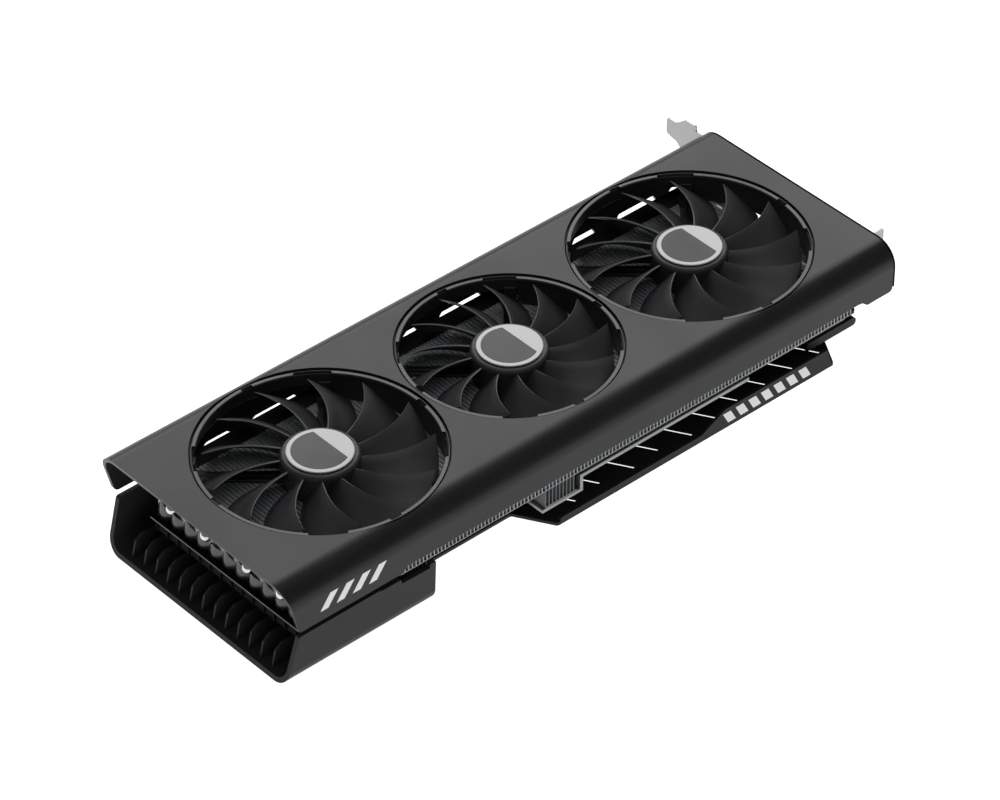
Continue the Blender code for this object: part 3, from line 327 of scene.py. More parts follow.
def pipe(shape, path, radius, sides=20):
    """Add a tube with rounded ends along a path to a bmesh; radius may be a list."""
    points = [Vector(p) for p in path]
    radii = radius if isinstance(radius, (list, tuple)) else [radius] * len(points)
    side = Vector((0, 0, 1))
    rings = []
    for index, point in enumerate(points):
        ahead = points[min(index + 1, len(points) - 1)] - points[max(index - 1, 0)]
        ahead.normalize()
        side = (side - ahead * side.dot(ahead)).normalized()
        other = ahead.cross(side)
        rings.append([shape.verts.new(point + radii[index] * (
            side * math.cos(TAU * k / sides) + other * math.sin(TAU * k / sides)))
            for k in range(sides)])
    for first, second in zip(rings, rings[1:]):
        for k in range(sides):
            shape.faces.new((first[k - 1], first[k], second[k], second[k - 1]))
    shape.faces.new(rings[0])
    shape.faces.new(rings[-1])


def freeze(obj):
    """Turn an object's modifiers into its mesh."""
    graph = bpy.context.evaluated_depsgraph_get()
    graph.update()
    mesh = bpy.data.meshes.new_from_object(obj.evaluated_get(graph))
    obj.modifiers.clear()
    obj.data = mesh


def carve(obj, tools):
    """Cut, join or intersect the object with bmesh tools, given as (bmesh, operation)."""
    helpers = []
    for tool, operation in tools:
        helper = piece(obj.name + "_tool", tool)
        helpers.append(helper)
        change = obj.modifiers.new("carve", "BOOLEAN")
        change.operation = operation
        change.solver = "EXACT"
        change.object = helper
    bpy.context.view_layer.update()
    freeze(obj)
    for helper in helpers:
        bpy.data.objects.remove(helper)
    obj.data.shade_smooth()
    obj.data.set_sharp_from_angle(angle=math.radians(32))


def soften(obj, width, segments=2, angle=35.0):
    """Round the sharp edges and keep the flat faces flat."""
    edges = obj.modifiers.new("edges", "BEVEL")
    edges.width = width * MM
    edges.segments = segments
    edges.limit_method = "ANGLE"
    edges.angle_limit = math.radians(angle)
    edges.use_clamp_overlap = True
    edges.harden_normals = False
    shading = obj.modifiers.new("shading", "WEIGHTED_NORMAL")
    shading.keep_sharp = True
    return obj


def show(obj, body, slot, *nodes):
    """Attach a finished piece to its body and hide the CAD nodes it stands for; the slot is not
    used.
    """
    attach(obj, body)
    if nodes:
        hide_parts(*nodes)


def repaint(node, paint, width=0.0):
    """Give a CAD node its finish and rounded edges."""
    obj = frame["nodes"][node]
    obj.data.materials.clear()
    obj.data.materials.append(paint)
    if width > 0:
        weld = obj.modifiers.new("weld", "WELD")
        weld.merge_threshold = 1e-5
        soften(obj, width)


# ------------------------------------------------------------------- shroud

def c_section(low):
    """Section of the shroud: its top and both sides, down to a height."""
    half, top = SHROUD_HIGH.y, SHROUD_HIGH.z
    wall, corner = SHROUD_WALL, SHROUD_CORNER
    inner = half - wall
    return rounded([(half, low), (half, top, corner), (-half, top, corner), (-half, low)], 14) \
        + rounded([(-inner, low), (-inner, top - wall, corner - wall),
                   (inner, top - wall, corner - wall), (inner, low)], 14)


def fan_axis(name):
    """Axis of a fan, from its joint."""
    joint = next(j for j in frame["joints"] if j["name"] == "fan_%s_spin" % name)
    return joint["pos_m"][0] / MM, joint["pos_m"][1] / MM


def opening_radius(name):
    """Radius of a fan's opening in the shroud."""
    low, high = span("fan_frame_" + name)
    return (high.x - low.x) / 2 + 0.3


def make_shroud():
    """Cover over the fans, with cut side edges and three round openings."""
    tail, front = SHROUD_LOW.x, SHROUD_HIGH.x
    top, low = SHROUD_HIGH.z, SHROUD_LOW.z
    half = SHROUD_HIGH.y + 1
    shape = bmesh.new()
    extrude(shape, c_section(low - 1), tail, front, "YZ")
    shroud = piece("shroud_shell", shape, PAINT, LINER)
    tabs_start, tabs_end = FAR_TABS_X
    tab_low = low + 0.4
    side = bmesh.new()
    edge = [(tail - SHROUD_RAKE / (top - FAR_EDGE_Z), top + 1),
            (tail + SHROUD_RAKE, FAR_EDGE_Z, 3.0), (tabs_start, FAR_EDGE_Z, 1.0),
            (tabs_start + 1.5, TAB_OVER_COVER_Z, 0.6)]
    for name in FAN_NAMES:
        middle = fan_axis(name)[0]
        window = FAR_WINDOW_Z[name]
        for start, end in FAR_WINDOWS:
            feet = [(x, TAB_OVER_COVER_Z if x < COVER_HIGH.x else tab_low, 0.5)
                    for x in (middle + start - 1.0, middle + end + 1.0)]
            edge += [feet[0], (middle + start + 1.4, window, 1.0),
                     (middle + end - 1.4, window, 1.0), feet[1]]
    edge += [(tabs_end, tab_low, 0.5), (tabs_end + 1.5, FAR_EDGE_Z, 1.0),
             (front + 1, FAR_EDGE_Z), (front + 1, top + 1)]
    extrude(side, rounded(edge, 4), -half, half, "XZ")
    near = bmesh.new()
    extrude(near, rounded([
        (tail - 5, low - 5), (tail - 5, NEAR_TAIL_Z), (-108.0, NEAR_TAIL_Z, 1.0),
        (-106.0, NEAR_EDGE_Z, 1.0), (144.0, NEAR_EDGE_Z, 1.2), (147.5, NEAR_FRONT_Z, 1.2),
        (front - 1.8, NEAR_FRONT_Z), (front - 0.9, NEAR_FRONT_Z + 0.2),
        (front - 0.3, NEAR_FRONT_Z + 0.8), (front, NEAR_FRONT_Z + 1.7),
        (front + 5, low - 5)], 6), -half, -half / 2, "XZ")
    tools = [(side, "INTERSECT"), (near, "DIFFERENCE")]
    for name in FAN_NAMES:
        hole = bmesh.new()
        radius = opening_radius(name) + 0.05
        revolve(hole, [(0.0, top + 1), (radius, top + 1), (radius, top - 4), (0.0, top - 4)],
                fan_axis(name), steps=180, closed=False)
        tools.append((hole, "DIFFERENCE"))
    carve(shroud, tools)
    inner = SHROUD_HIGH.y - SHROUD_WALL + 0.05
    for face in shroud.data.polygons:
        middle = face.center / MM
        faces_in = face.normal.y * (1 if middle.y < 0 else -1)
        beneath = middle.z < top - 0.5 and face.normal.z < -0.5 and abs(middle.y) < inner
        sideways = abs(middle.y) < inner and faces_in > 0.2
        if beneath or sideways:
            face.material_index = 1
    soften(shroud, 0.45, segments=3)
    show(shroud, "card", "shroud_paint", "shroud")


PRINT_PROUD = 0.06


def slanted_bars(name, first, count, pitch, low, high, lean, width, near):
    """Row of plain printed bars on a face that looks along -Y."""
    shape = bmesh.new()
    for index in range(count):
        x = first + index * pitch
        shift = lean * (high - low)
        extrude(shape, [(x, low), (x + width, low), (x + width + shift, high), (x + shift, high)],
                near - PRINT_PROUD, near + 0.3, "XZ")
    show(piece(name, shape, PRINT), "card", "silver_badge")


def make_marks():
    """Plain bars on the shroud's side and on the backplate's panel."""
    slanted_bars("shroud_mark", -150.0, 4, 8.2, 32.6, 39.6, 0.75, 4.0, SHROUD_LOW.y)
    slanted_bars("panel_mark", 73.0, 7, 7.2, 2.3, 8.0, -0.55, 4.4, BACK_LOW.y)


# --------------------------------------------------------------------- fans

def in_notch(degrees):
    """Where the lip of a fan frame is cut back."""
    turn = degrees % 90.0
    return any(start < turn < end for start, end in LIP_NOTCHES)


def make_frame(name):
    """Notched lip of a fan's opening, and the wall, arms and motor seat under it."""
    centre = fan_axis(name)
    low, high = span("fan_frame_" + name)
    outer = opening_radius(name) - 0.75
    top, foot = high.z, low.z
    lip = [(outer, top - 0.2), (outer - 0.2, top), (outer - 1.6, top), (outer - 1.85, top - 0.25),
           (outer - 1.9, top - 1.0), (outer, top - 1.0)]
    cut = [(outer, top - 0.2), (outer - 0.1, top), (outer - 0.3, top), (outer - 0.4, top - 0.2),
           (outer - 0.45, top - 1.0), (outer, top - 1.0)]
    shape = bmesh.new()
    degrees = sorted({i * 2.0 for i in range(180)}
                     | {q * 90.0 + edge + side for q in range(4) for notch in LIP_NOTCHES
                        for edge in notch for side in (-0.12, 0.12)})
    revolve(shape, lambda a: cut if in_notch(math.degrees(a)) else lip, centre,
            angles=[math.radians(d) for d in degrees])
    ring = soften(piece("fan_lip_" + name, shape, LIP), 0.12)
    show(ring, "card", "black_plastic", "fan_frame_" + name)
    shape = bmesh.new()

    def wall(angle):
        """Section of the ring's wall, which reaches down to the fins on its +X side."""
        turn = (math.degrees(angle) + 180.0) % 360.0 - 180.0
        low_z = FIN_HIGH.z + 0.6 if -62.0 < turn < 44.0 else top - 7.0
        return [(outer + 0.35, top - 1.4), (outer + 0.35, low_z), (outer - 0.9, low_z),
                (outer - 0.75, top - 1.2)]

    revolve(shape, wall, centre)
    revolve(shape, [(outer + 0.3, top - 1.5), (outer + 2.0, top - 1.5), (outer + 2.0, top - 2.5),
                    (outer + 0.3, top - 2.5)], centre)
    reach, half = outer + 0.2, ARM_WIDTH / 2
    for angle in ARM_ANGLES:
        arm = bmesh.new()
        extrude(arm, rounded([(11.0, -half - 0.8), (reach - 8, -half, 6.0), (reach, -half - 1.5),
                              (reach, half + 1.5), (reach - 8, half, 6.0), (11.0, half + 0.8)], 5),
                foot + 0.1, foot + 1.6)
        block(arm, (18.0, -0.5, foot + 1.5), (reach - 2, 0.5, foot + 2.1))
        block(arm, (reach - 2.0, -half, foot + 0.3), (reach, half, top - 5.0))
        bmesh.ops.transform(arm, verts=arm.verts, matrix=Matrix.Translation((*centre, 0))
                            @ Matrix.Rotation(math.radians(angle), 4, "Z"))
        copy = bpy.data.meshes.new("arm")
        arm.to_mesh(copy)
        arm.free()
        shape.from_mesh(copy)
        bpy.data.meshes.remove(copy)
    seat = foot + 1.7
    revolve(shape, [(0.0, seat), (3.0, seat), (3.0, high.z - 3.9), (4.0, high.z - 3.9),
                    (4.0, seat + 0.6), (4.8, seat), (14.9, seat), (15.5, seat - 0.5),
                    (15.5, foot), (0.0, foot)], centre, steps=72, closed=False)
    body = piece("fan_spider_" + name, shape, PLASTIC)
    show(soften(body, 0.25), "card", "black_plastic")


def blade_point(share, along, reach, root, tip_angle):
    """Point on the middle surface of a blade, about the fan's axis.

    Share runs from the hub to the tip, and along from the leading edge down.
    """
    radius = root + (reach - root) * share
    covered = BLADE_COVER[0] + (BLADE_COVER[1] - BLADE_COVER[0]) * share
    sweep = BLADE_SWEEP * (1 - share) + BLADE_BOW * math.sin(math.pi * share)
    angle = math.radians(tip_angle - sweep - covered * along)
    fall = 1.2 * along - 0.2 * along * along
    upper = BLADE_TOP + BLADE_RISE * share
    z = upper + (BLADE_FOOT - upper) * fall
    return Vector((radius * math.cos(angle), radius * math.sin(angle), z))


def make_blade(shape, centre, *form):
    """Add one blade, thinner towards its edges; its leading edge is painted lighter as a
    highlight.

    The form is the reach, the root and the tip angle that blade_point takes.
    """
    spans, chords = 16, 12
    grids = ([], [])
    for i in range(spans + 1):
        rows = ([], [])
        for j in range(chords + 1):
            s, c = i / spans, j / chords
            here = blade_point(s, c, *form)
            ds = blade_point(s + 0.01, c, *form) - here
            dc = blade_point(s, c + 0.01, *form) - here
            normal = ds.cross(dc).normalized()
            belly = min(1.0, 4.5 * min(c, 1 - c) + 0.42)
            tip = min(1.0, 6.0 * (1 - s) + 0.45)
            half = 0.62 * belly * tip * (1.25 - 0.45 * s)
            for row, sign in zip(rows, (1, -1)):
                place = here + normal * half * sign
                row.append(shape.verts.new((centre[0] + place.x, centre[1] + place.y, place.z)))
        for grid, row in zip(grids, rows):
            grid.append(row)
    for grid in grids:
        for i in range(spans):
            for j in range(chords):
                shape.faces.new((grid[i][j], grid[i + 1][j], grid[i + 1][j + 1], grid[i][j + 1]))
    rim = [(i, 0) for i in range(spans)] + [(spans, j) for j in range(chords)] \
        + [(i, chords) for i in range(spans, 0, -1)] + [(0, j) for j in range(chords, 0, -1)]
    upper, under = grids
    for (i, j), (k, m) in zip(rim, rim[1:] + rim[:1]):
        side = shape.faces.new((upper[i][j], upper[k][m], under[k][m], under[i][j]))
        # The leading-edge rim faces take the painted highlight.
        side.material_index = 1 if j == 0 and m == 0 else 0


def make_impeller(name):
    """Hub and blades."""
    centre = fan_axis(name)
    body = "fan_" + name
    low, high = span("impeller_" + name)
    top, foot = high.z, low.z
    hub = HUB_RADIUS
    shape = bmesh.new()
    profile = [(0.0, top), (hub - 2.3, top), (hub - 2.2, top - 0.15), (hub - 2.0, top - 0.15),
               (hub - 1.8, top)]
    profile += [(hub - 1.8 + 1.8 * math.sin(a), top - 2.2 * (1 - math.cos(a)))
                for a in (math.radians(d) for d in range(15, 91, 15))]
    profile += [(hub, foot + 0.3), (hub - 0.3, foot), (hub - 1.5, foot), (hub - 1.5, top - 1.7),
                (0.0, top - 1.7)]
    revolve(shape, profile, centre, closed=False)
    show(piece("fan_hub_" + name, shape, HUB), body, "blade_plastic", "impeller_" + name)
    shape = bmesh.new()
    for index in range(BLADES):
        make_blade(shape, centre, opening_radius(name) * BLADE_REACH, hub - 0.7,
                   TIP_ANGLE[name] + 360.0 * index / BLADES)
    blades = piece("fan_blades_" + name, shape, BLADE, BLADE_EDGE_HIGHLIGHT, angle=50.0)
    show(blades, body, "blade_plastic")


def make_badge(name):
    """Bright disc on the hub, with a dark inset that ends at a chord."""
    centre = fan_axis(name)
    body = "fan_" + name
    low, high = span("hub_badge_" + name)
    radius = (high.x - low.x) / 2
    shape = bmesh.new()
    inset = radius - 1.9
    chord = 5.4
    swing = math.acos(chord / inset)
    outline = [(inset * math.cos(a), inset * math.sin(a))
               for a in (swing + (TAU - 2 * swing) * i / 64 for i in range(65))]
    revolve(shape, [(0.0, high.z), (radius - 0.25, high.z), (radius, high.z - 0.2),
                    (radius, low.z), (0.0, low.z)], centre, closed=False)
    badge = piece("badge_disc_" + name, shape, SILVER)
    pocket = bmesh.new()
    extrude(pocket, [(centre[0] + u, centre[1] + v) for u, v in outline], high.z - 0.2,
            high.z + 1)
    carve(badge, [(pocket, "DIFFERENCE")])
    show(badge, body, "silver_badge", "hub_badge_" + name)
    shape = bmesh.new()
    extrude(shape, [(centre[0] + u * 0.995, centre[1] + v * 0.995) for u, v in outline],
            high.z - 0.3, high.z - 0.08)
    show(soften(piece("badge_inset_" + name, shape, INSET), 0.05), body, "blade_plastic")


def make_motor(name):
    """Windings over the stator's poles, which show from below."""
    centre = fan_axis(name)
    low, high = span("stator_" + name)
    shape = bmesh.new()
    for pole in range(POLES):
        angle = TAU * pole / POLES
        ahead = Vector((math.cos(angle), math.sin(angle), 0))
        side = Vector((-ahead.y, ahead.x, 0))
        for turn in range(5):
            radius = 7.6 + turn * 0.62
            middle = Vector((*centre, (low.z + high.z) / 2)) + ahead * radius
            tall = (high.z - low.z) / 2 + 0.35
            wide = 1.3 + turn * 0.16
            loop = [middle + side * wide * a + Vector((0, 0, tall * b)) for a, b in
                    ((-1, -0.8), (-0.7, -1), (0.7, -1), (1, -0.8), (1, 0.8), (0.7, 1), (-0.7, 1),
                     (-1, 0.8), (-1, -0.7))]
            pipe(shape, loop, 0.3, sides=6)
    show(piece("windings_" + name, shape, COPPER), "card", "copper")


# --------------------------------------------------------- fins and pipes

FIN_PITCH = 1.9
FIN_SHEET = 0.36
FIN_STEP_Z = 25.0              # where the upper fins end and the deeper blocks begin
TAIL_FINS_X = -108.0           # up to here the fins keep clear of the end cover
TAIL_FIN_NEAR_Y = -52.5
LOWER_FINS = (((-110.5, -91.0), -53.2, None, 10.0),    # X range, Y range, lowest Z
              ((-30.6, -12.2), -54.0, -46.5, 13.8),
              ((-8.3, 140.0), -53.0, None, 20.9))


def fin_zones(x):
    """Boxes (y low, y high, z low, z high) that one fin covers at X."""
    top, far = FIN_HIGH.z, FIN_HIGH.y
    near = FIN_LOW.y if x > TAIL_FINS_X else TAIL_FIN_NEAR_Y
    zones = [(near, far, FIN_STEP_Z if x > LOWER_FINS[0][0][0] else 19.5, top)]
    return zones + [(y_low, y_high or far, z_low, FIN_STEP_Z)
                    for (start, end), y_low, y_high, z_low in LOWER_FINS if start < x < end]


def make_fins():
    """Thin fins along the card, with the folds that hold them apart."""
    shape = bmesh.new()
    lower = bmesh.new()
    lips = bmesh.new()
    count = int((FIN_HIGH.x - FIN_LOW.x - 2.0) / FIN_PITCH)
    for index in range(count):
        x = FIN_LOW.x + 2.0 + index * FIN_PITCH
        for near, far, low, high in fin_zones(x):
            upper = high > FIN_STEP_Z
            # Sheets of the lower blocks take the darker foil, which is painted shade.
            sheets = shape if upper else lower
            block(sheets, (x, near, low), (x + FIN_SHEET, far, high))
            block(lips, (x + FIN_SHEET, near, low), (x + FIN_PITCH - 0.05, far, low + 0.4))
            if near < -50:
                block(sheets, (x + FIN_SHEET, near + 1.6, low + 0.4),
                      (x + FIN_PITCH, near + 1.9, min(high, 34.0)))
            if upper:
                block(shape, (x + FIN_SHEET, near + 0.4, high - 0.4),
                      (x + FIN_PITCH * 0.74, far, high))
    show(piece("fin_sheets", shape, FIN), "card", "fin_metal", "fin_stack")
    show(piece("fin_sheets_low_painted_shade", lower, FIN_PAINTED_SHADE), "card", "fin_metal")
    show(piece("fin_folds", lips, FOIL_EDGE_AND_HIGHLIGHT), "card", "fin_metal")


SCOOP_WIDTH = 7.35


def make_tail_fin():
    """Outermost fin, pressed into upright scoops with a pointed upper edge."""
    shape = bmesh.new()
    steps, foot = 14, 20.0
    near, far = -50.0, FIN_HIGH.y
    count = int((far - near) / SCOOP_WIDTH)
    period = (far - near) / count
    columns = []
    for index in range(count * steps + 1):
        y = near + period * index / steps
        phase = (index % steps) / steps
        bulge = math.sin(math.pi * phase)
        x = FIN_LOW.x + 2.2 - 2.0 * bulge
        big = 1.0 if (index // steps) % 3 else 0.55
        top = 28.2 + 4.6 * big * (1 - abs(2 * phase - 1) ** 0.9)
        columns.append((x, y, top))
    rows = 9
    grids = ([], [])
    for x, y, top in columns:
        for grid, shift in zip(grids, (0.0, 0.35)):
            grid.append([shape.verts.new((x + shift - 0.5 * math.sin(math.pi * r / rows), y,
                                          foot + (top - foot) * r / rows))
                         for r in range(rows + 1)])
    for grid in grids:
        for first, second in zip(grid, grid[1:]):
            for r in range(rows):
                shape.faces.new((first[r], second[r], second[r + 1], first[r + 1]))
    front, back = grids
    last = len(columns) - 1
    for i in range(last):
        shape.faces.new((front[i][rows], front[i + 1][rows], back[i + 1][rows], back[i][rows]))
        shape.faces.new((front[i][0], front[i + 1][0], back[i + 1][0], back[i][0]))
    for i in (0, last):
        for r in range(rows):
            shape.faces.new((front[i][r], front[i][r + 1], back[i][r + 1], back[i][r]))
    # The outermost fin's darker foil is painted shade.
    show(piece("tail_fin", shape, WAVE_PAINTED_SHADE, angle=60.0), "card", "fin_metal")


def make_tail_tray():
    """Dark tray in front of the outermost fin's foot, with a pale rim painted on as a highlight
    along its edge.
    """
    shape = bmesh.new()
    x, high = FIN_LOW.x - 2.4, 23.6
    near, far, foot = -54.0, FIN_HIGH.y, 16.0
    block(shape, (x, near, high - 1.0), (x + 3.4, far, high))
    block(shape, (x + 2.4, near, foot), (x + 3.4, far, high - 0.5))
    for index in range(14):
        y = near + 4.0 + index * 6.6
        block(shape, (x + 1.4, y, foot + 0.6), (x + 2.6, y + 0.8, high - 0.6))
    show(soften(piece("tail_tray", shape, NEAR_BLACK), 0.2), "card", "black_metal")
    # Pale strip along the tray's edge: a painted highlight.
    rim = bmesh.new()
    block(rim, (x - 0.1, near + 0.2, high - 0.3), (x + 0.25, far - 0.2, high + 0.12))
    show(soften(piece("tail_tray_highlight_rim", rim, FOIL_EDGE_AND_HIGHLIGHT), 0.08), "card", "fin_metal")


def make_front_baffle():
    """Black screen behind the bracket, above the row of sockets."""
    shape = bmesh.new()
    x, half, low, high = SHROUD_HIGH.x - 1.7, 53.5, 24.8, 47.6
    block(shape, (x, -half, low), (x + 1.2, half, high))
    for index in range(9):
        y = (index - 4) * 12.0
        block(shape, (x - 1.6, y - 0.5, low + 0.4), (x + 0.2, y + 0.5, high - 0.4))
    show(soften(piece("front_baffle", shape, NEAR_BLACK), 0.2), "card", "black_plastic")


PIPE_Y = (-38.8, -18.2, 7.7, 29.0)
PIPE_Z = 30.8                  # height of the pipes between the fins
PIPE_BEND_X = (-45.6, 23.0)    # where they drop to the cold plate, and over what length
PIPE_TURN_X = (-19.2, 35.2)    # where they draw together, and over what length


def make_pipes():
    """Heat pipes with a drawn tip, two bends and a sealed end."""
    steps = 14
    ease = [(1 - math.cos(math.pi * i / steps)) / 2 for i in range(1, steps + 1)]
    level = span("cold_plate")[1].z + 3.3
    for index, y in enumerate(PIPE_Y):
        low, high = span("heat_pipe_%d" % (index + 1))
        plate_y = GPU.y + 9.0 * (index - 1.5)
        start, stop, channel = low.x, high.x, PIPE_Z
        path = [(start, y, channel)]
        radii = [0.6]
        for out, radius in ((0.35, 1.5), (1.0, 2.2), (2.2, 2.75), (4.0, 3.0)):
            path.append((start + out, y, channel))
            radii.append(radius)
        (bend, bend_run), (turn, turn_run) = PIPE_BEND_X, PIPE_TURN_X
        path.append((bend, y, channel))
        path += [(bend + bend_run * (i + 1) / steps, y, channel + (level - channel) * e)
                 for i, e in enumerate(ease)]
        path += [(turn + turn_run * (i + 1) / steps, y + (plate_y - y) * e, level)
                 for i, e in enumerate(ease)]
        path += [(stop - 4.0, plate_y, level), (stop - 1.5, plate_y, level),
                 (stop, plate_y, level)]
        radii += [3.0] * (len(path) - len(radii) - 2) + [2.5, 1.2]
        shape = bmesh.new()
        pipe(shape, path, radii, sides=28)
        show(piece("pipe_%d" % (index + 1), shape, NICKEL, angle=50.0), "card", "copper",
             "heat_pipe_%d" % (index + 1))


# -------------------------------------------------------------------- cover

RIBS = 13
RIB_PITCH = 7.26
RIB_END_X = -124.0


def make_cover():
    """Open trough at the tail, with upright ribs inside."""
    low, high = COVER_LOW, COVER_HIGH
    half, foot = high.y, high.y - 1.0
    wall, corner, top = 2.2, 8.0, high.z
    shape = bmesh.new()
    extrude(shape, rounded([(half, top + 1), (foot, 0.0, corner), (-foot, 0.0, corner),
                            (-half, top + 1)], 14)
            + rounded([(-half + wall, top + 1), (-foot + wall, wall, corner - wall),
                       (foot - wall, wall, corner - wall), (half - wall, top + 1)], 14),
            low.x, high.x, "YZ")
    cover = piece("end_cover", shape, COVER)
    front = high.x
    side = bmesh.new()
    extrude(side, rounded([
        (low.x - 0.28, -1), (front + 1, -1), (front + 1, 22.0), (front - 0.6, 22.6, 0.5),
        (front - 2.9, 22.6, 0.8), (front - 3.3, top - 3.4), (front - 17.4, top - 3.0),
        (front - 18.2, top - 0.8), (front - 28.6, top - 0.6), (front - 29.0, top),
        (low.x + 6.7, top, 1.5)], 5), -half - 1, half + 1, "XZ")
    carve(cover, [(side, "INTERSECT")])
    show(soften(cover, 0.4, segments=3), "card", "black_plastic", "rear_end_cover")
    shape = bmesh.new()
    tail, foot, rib_top = low.x + 3.0, wall - 0.4, 12.0
    for index in range(RIBS):
        y = (index - RIBS // 2) * RIB_PITCH
        outline = rounded([(tail, foot), (tail + 1.9, 9.6, 1.2), (tail + 5.4, rib_top, 1.2),
                           (RIB_END_X, rib_top), (RIB_END_X, foot)], 4)
        extrude(shape, outline, y - 0.5, y + 0.5, "XZ")
    block(shape, (RIB_END_X - 0.6, -52.0, foot), (RIB_END_X + 0.6, 52.0, rib_top - 0.4))
    show(soften(piece("cover_ribs", shape, COVER), 0.18), "card", "black_plastic")


# ---------------------------------------------------------------- backplate

BACK_THICK = 1.5
SLOTS = 10
SLOT_PITCH = 15.9
WINDOW_HALF = 28.0             # half of the opening behind the processor
BACK_SCREWS = ((-82.0, 48.0), (-40.0, 48.0), (20.0, 48.0), (84.0, 48.0), (150.0, 48.0),
               (-82.0, -30.0), (-40.0, -22.0), (8.0, -18.0), (92.0, -24.0), (150.0, -30.0),
               (-60.0, -14.0), (120.0, 10.0))


def make_backplate():
    """Plate with a bent-up near edge, slanted openings and sunk screws."""
    low, high = BACK_LOW, BACK_HIGH
    near, far = low.y, high.y
    start, front = low.x, high.x
    power, beside = -36.5, -37.2
    left, right = -21.8, 134.0
    outline = rounded([
        (start, far, 2.0), (start, power, 1.0), (left - (power - near) * SLANT, power, 1.5),
        (left, near, 2.0), (right, near, 0.8), (right + (beside - near) * SLANT, beside, 1.5),
        (front, beside, 1.0), (front, far, 2.0)], 8)
    shape = bmesh.new()
    extrude(shape, outline, 0.0, BACK_THICK)
    plate = piece("back_panel", shape, BLACK_METAL)
    fence = bmesh.new()
    extrude(fence, rounded([(left + 1.4, 0.4), (right - 0.6, 0.4), (130.0, high.z, 0.8),
                            (71.0, high.z, 3.0), (58.0, 3.4, 3.0), (left + 1.4, 3.4, 1.5)], 8),
            near + 0.01, near + 1.21, "XZ")
    slots = bmesh.new()
    undercut = bmesh.new()
    half = 0.5 * math.sqrt(1 + SLANT * SLANT)
    through = BACK_THICK + 1
    for index in range(SLOTS):
        x = -8.8 + SLOT_PITCH * index
        ends = (-33.0 - 0.21 * index, (-48.0, -46.0)[index % 2] - 0.21 * index)
        left_x, right_x = ([x + (-45.0 - y) * SLANT + shift for y in ends]
                           for shift in (-half, half))
        extrude(slots, [(left_x[0], ends[0]), (right_x[0], ends[0]),
                        (right_x[1], ends[1]), (left_x[1], ends[1])], -1, through)
        extrude(undercut, [(left_x[0], ends[0] + 1.6), (right_x[0] + 1.9, ends[0] + 1.6),
                           (right_x[1] + 1.9, ends[1]), (left_x[1], ends[1])],
                -1, BACK_THICK - 0.4)
    window = bmesh.new()
    extrude(window, rounded([(GPU.x + u * WINDOW_HALF, GPU.y + v * WINDOW_HALF, 3.0)
                             for u, v in ((-1, -1), (1, -1), (1, 1), (-1, 1))], 5), -1, through)
    sinks = bmesh.new()
    for place in BACK_SCREWS:
        extrude(sinks, circle(place, 2.3, 28), -1, 0.9)
    for row in range(3):
        for column in range(9):
            x = -70.0 + column * 5.6 + row * 3.2
            y = 26.0 - row * 7.0
            extrude(window, rounded([(x, y, 0.6), (x + 3.6, y, 0.6), (x + 0.4, y - 5.4, 0.6),
                                     (x - 3.2, y - 5.4, 0.6)], 3), -1, through)
    carve(plate, [(fence, "UNION")]
          + [(cut, "DIFFERENCE") for cut in (slots, undercut, window, sinks)])
    show(soften(plate, 0.3, segments=3), "card", "black_metal", "backplate")
    heads = bmesh.new()
    for place in BACK_SCREWS:
        screw_head(heads, place, 0.15, 2.0)
    show(piece("backplate_screws", heads, BLACK_METAL), "card", "black_metal")


def screw_head(shape, place, low, radius):
    """Add a pan head with a cross cut, facing down."""
    arm, width = radius * 0.6, radius * 0.14
    core, sunk, top = arm + 0.15, low + 0.5, low + 1.0
    for profile in ([(radius, top), (radius, low + 0.35), (radius * 0.88, low), (core, low)],
                    [(core, low), (arm * 0.7, sunk), (0.0, sunk)],
                    [(radius, top), (0.0, top)]):
        revolve(shape, profile, place, steps=32, closed=False)
    for angle in (0, math.pi / 2):
        turn = Matrix.Rotation(angle, 2)
        corners = ((-arm, -width), (arm, -width), (arm, width), (-arm, width))
        extrude(shape, [Vector(place) + turn @ Vector(c) for c in corners], sunk, sunk + 0.1)


# ------------------------------------------------------------- board detail

CONTACTS = 82
CONTACT_X = 33.0
KEY_X = 104.4                  # notch between the contacts


def make_board_parts():
    """Edge contacts, chokes, capacitors and small parts on the board."""
    top = BOARD_HIGH.z
    repaint("board", BOARD)
    fingers = bmesh.new()
    for index in range(CONTACTS):
        x = CONTACT_X + index
        if abs(x - KEY_X) < 1.9:
            continue
        for z in (BOARD_LOW.z - 0.04, top - 0.02):
            block(fingers, (x - 0.35, 59.5, z), (x + 0.35, 67.6, z + 0.06))
    show(piece("edge_contacts", fingers, GOLD), "card", "copper")
    chokes = bmesh.new()
    caps = bmesh.new()
    sleeves = bmesh.new()
    for index in range(9):
        x = -66.0 + index * 8.6
        block(chokes, (x, 44.0, top + 0.1), (x + 7.2, 51.0, top + 4.3))
        revolve(caps, [(0.0, top + 5.2), (2.6, top + 5.2), (2.9, top + 4.9), (2.9, top + 0.1),
                       (0.0, top + 0.1)], (x + 3.6, 37.0), steps=28, closed=False)
    for index in range(5):
        x = 96.0 + index * 8.6
        block(chokes, (x, 47.0, top + 0.1), (x + 7.2, 53.5, top + 4.3))
    for row in range(2):
        for index in range(26):
            x = -70.0 + index * 7.9 + row * 2.6
            if 8.0 < x < 84.0 and row == 0:
                continue
            y = 53.8 - row * 1.8
            block(sleeves, (x, y, top + 0.05), (x + 1.7, y + 1.0, top + 0.8))
    show(soften(piece("chokes", chokes, CHOKE), 0.4), "card", "chip_resin")
    show(piece("capacitors", caps, NICKEL), "card", "bracket_steel")
    show(soften(piece("small_parts", sleeves, CHOKE), 0.12), "card", "chip_resin")


PIN_PITCH = 4.2


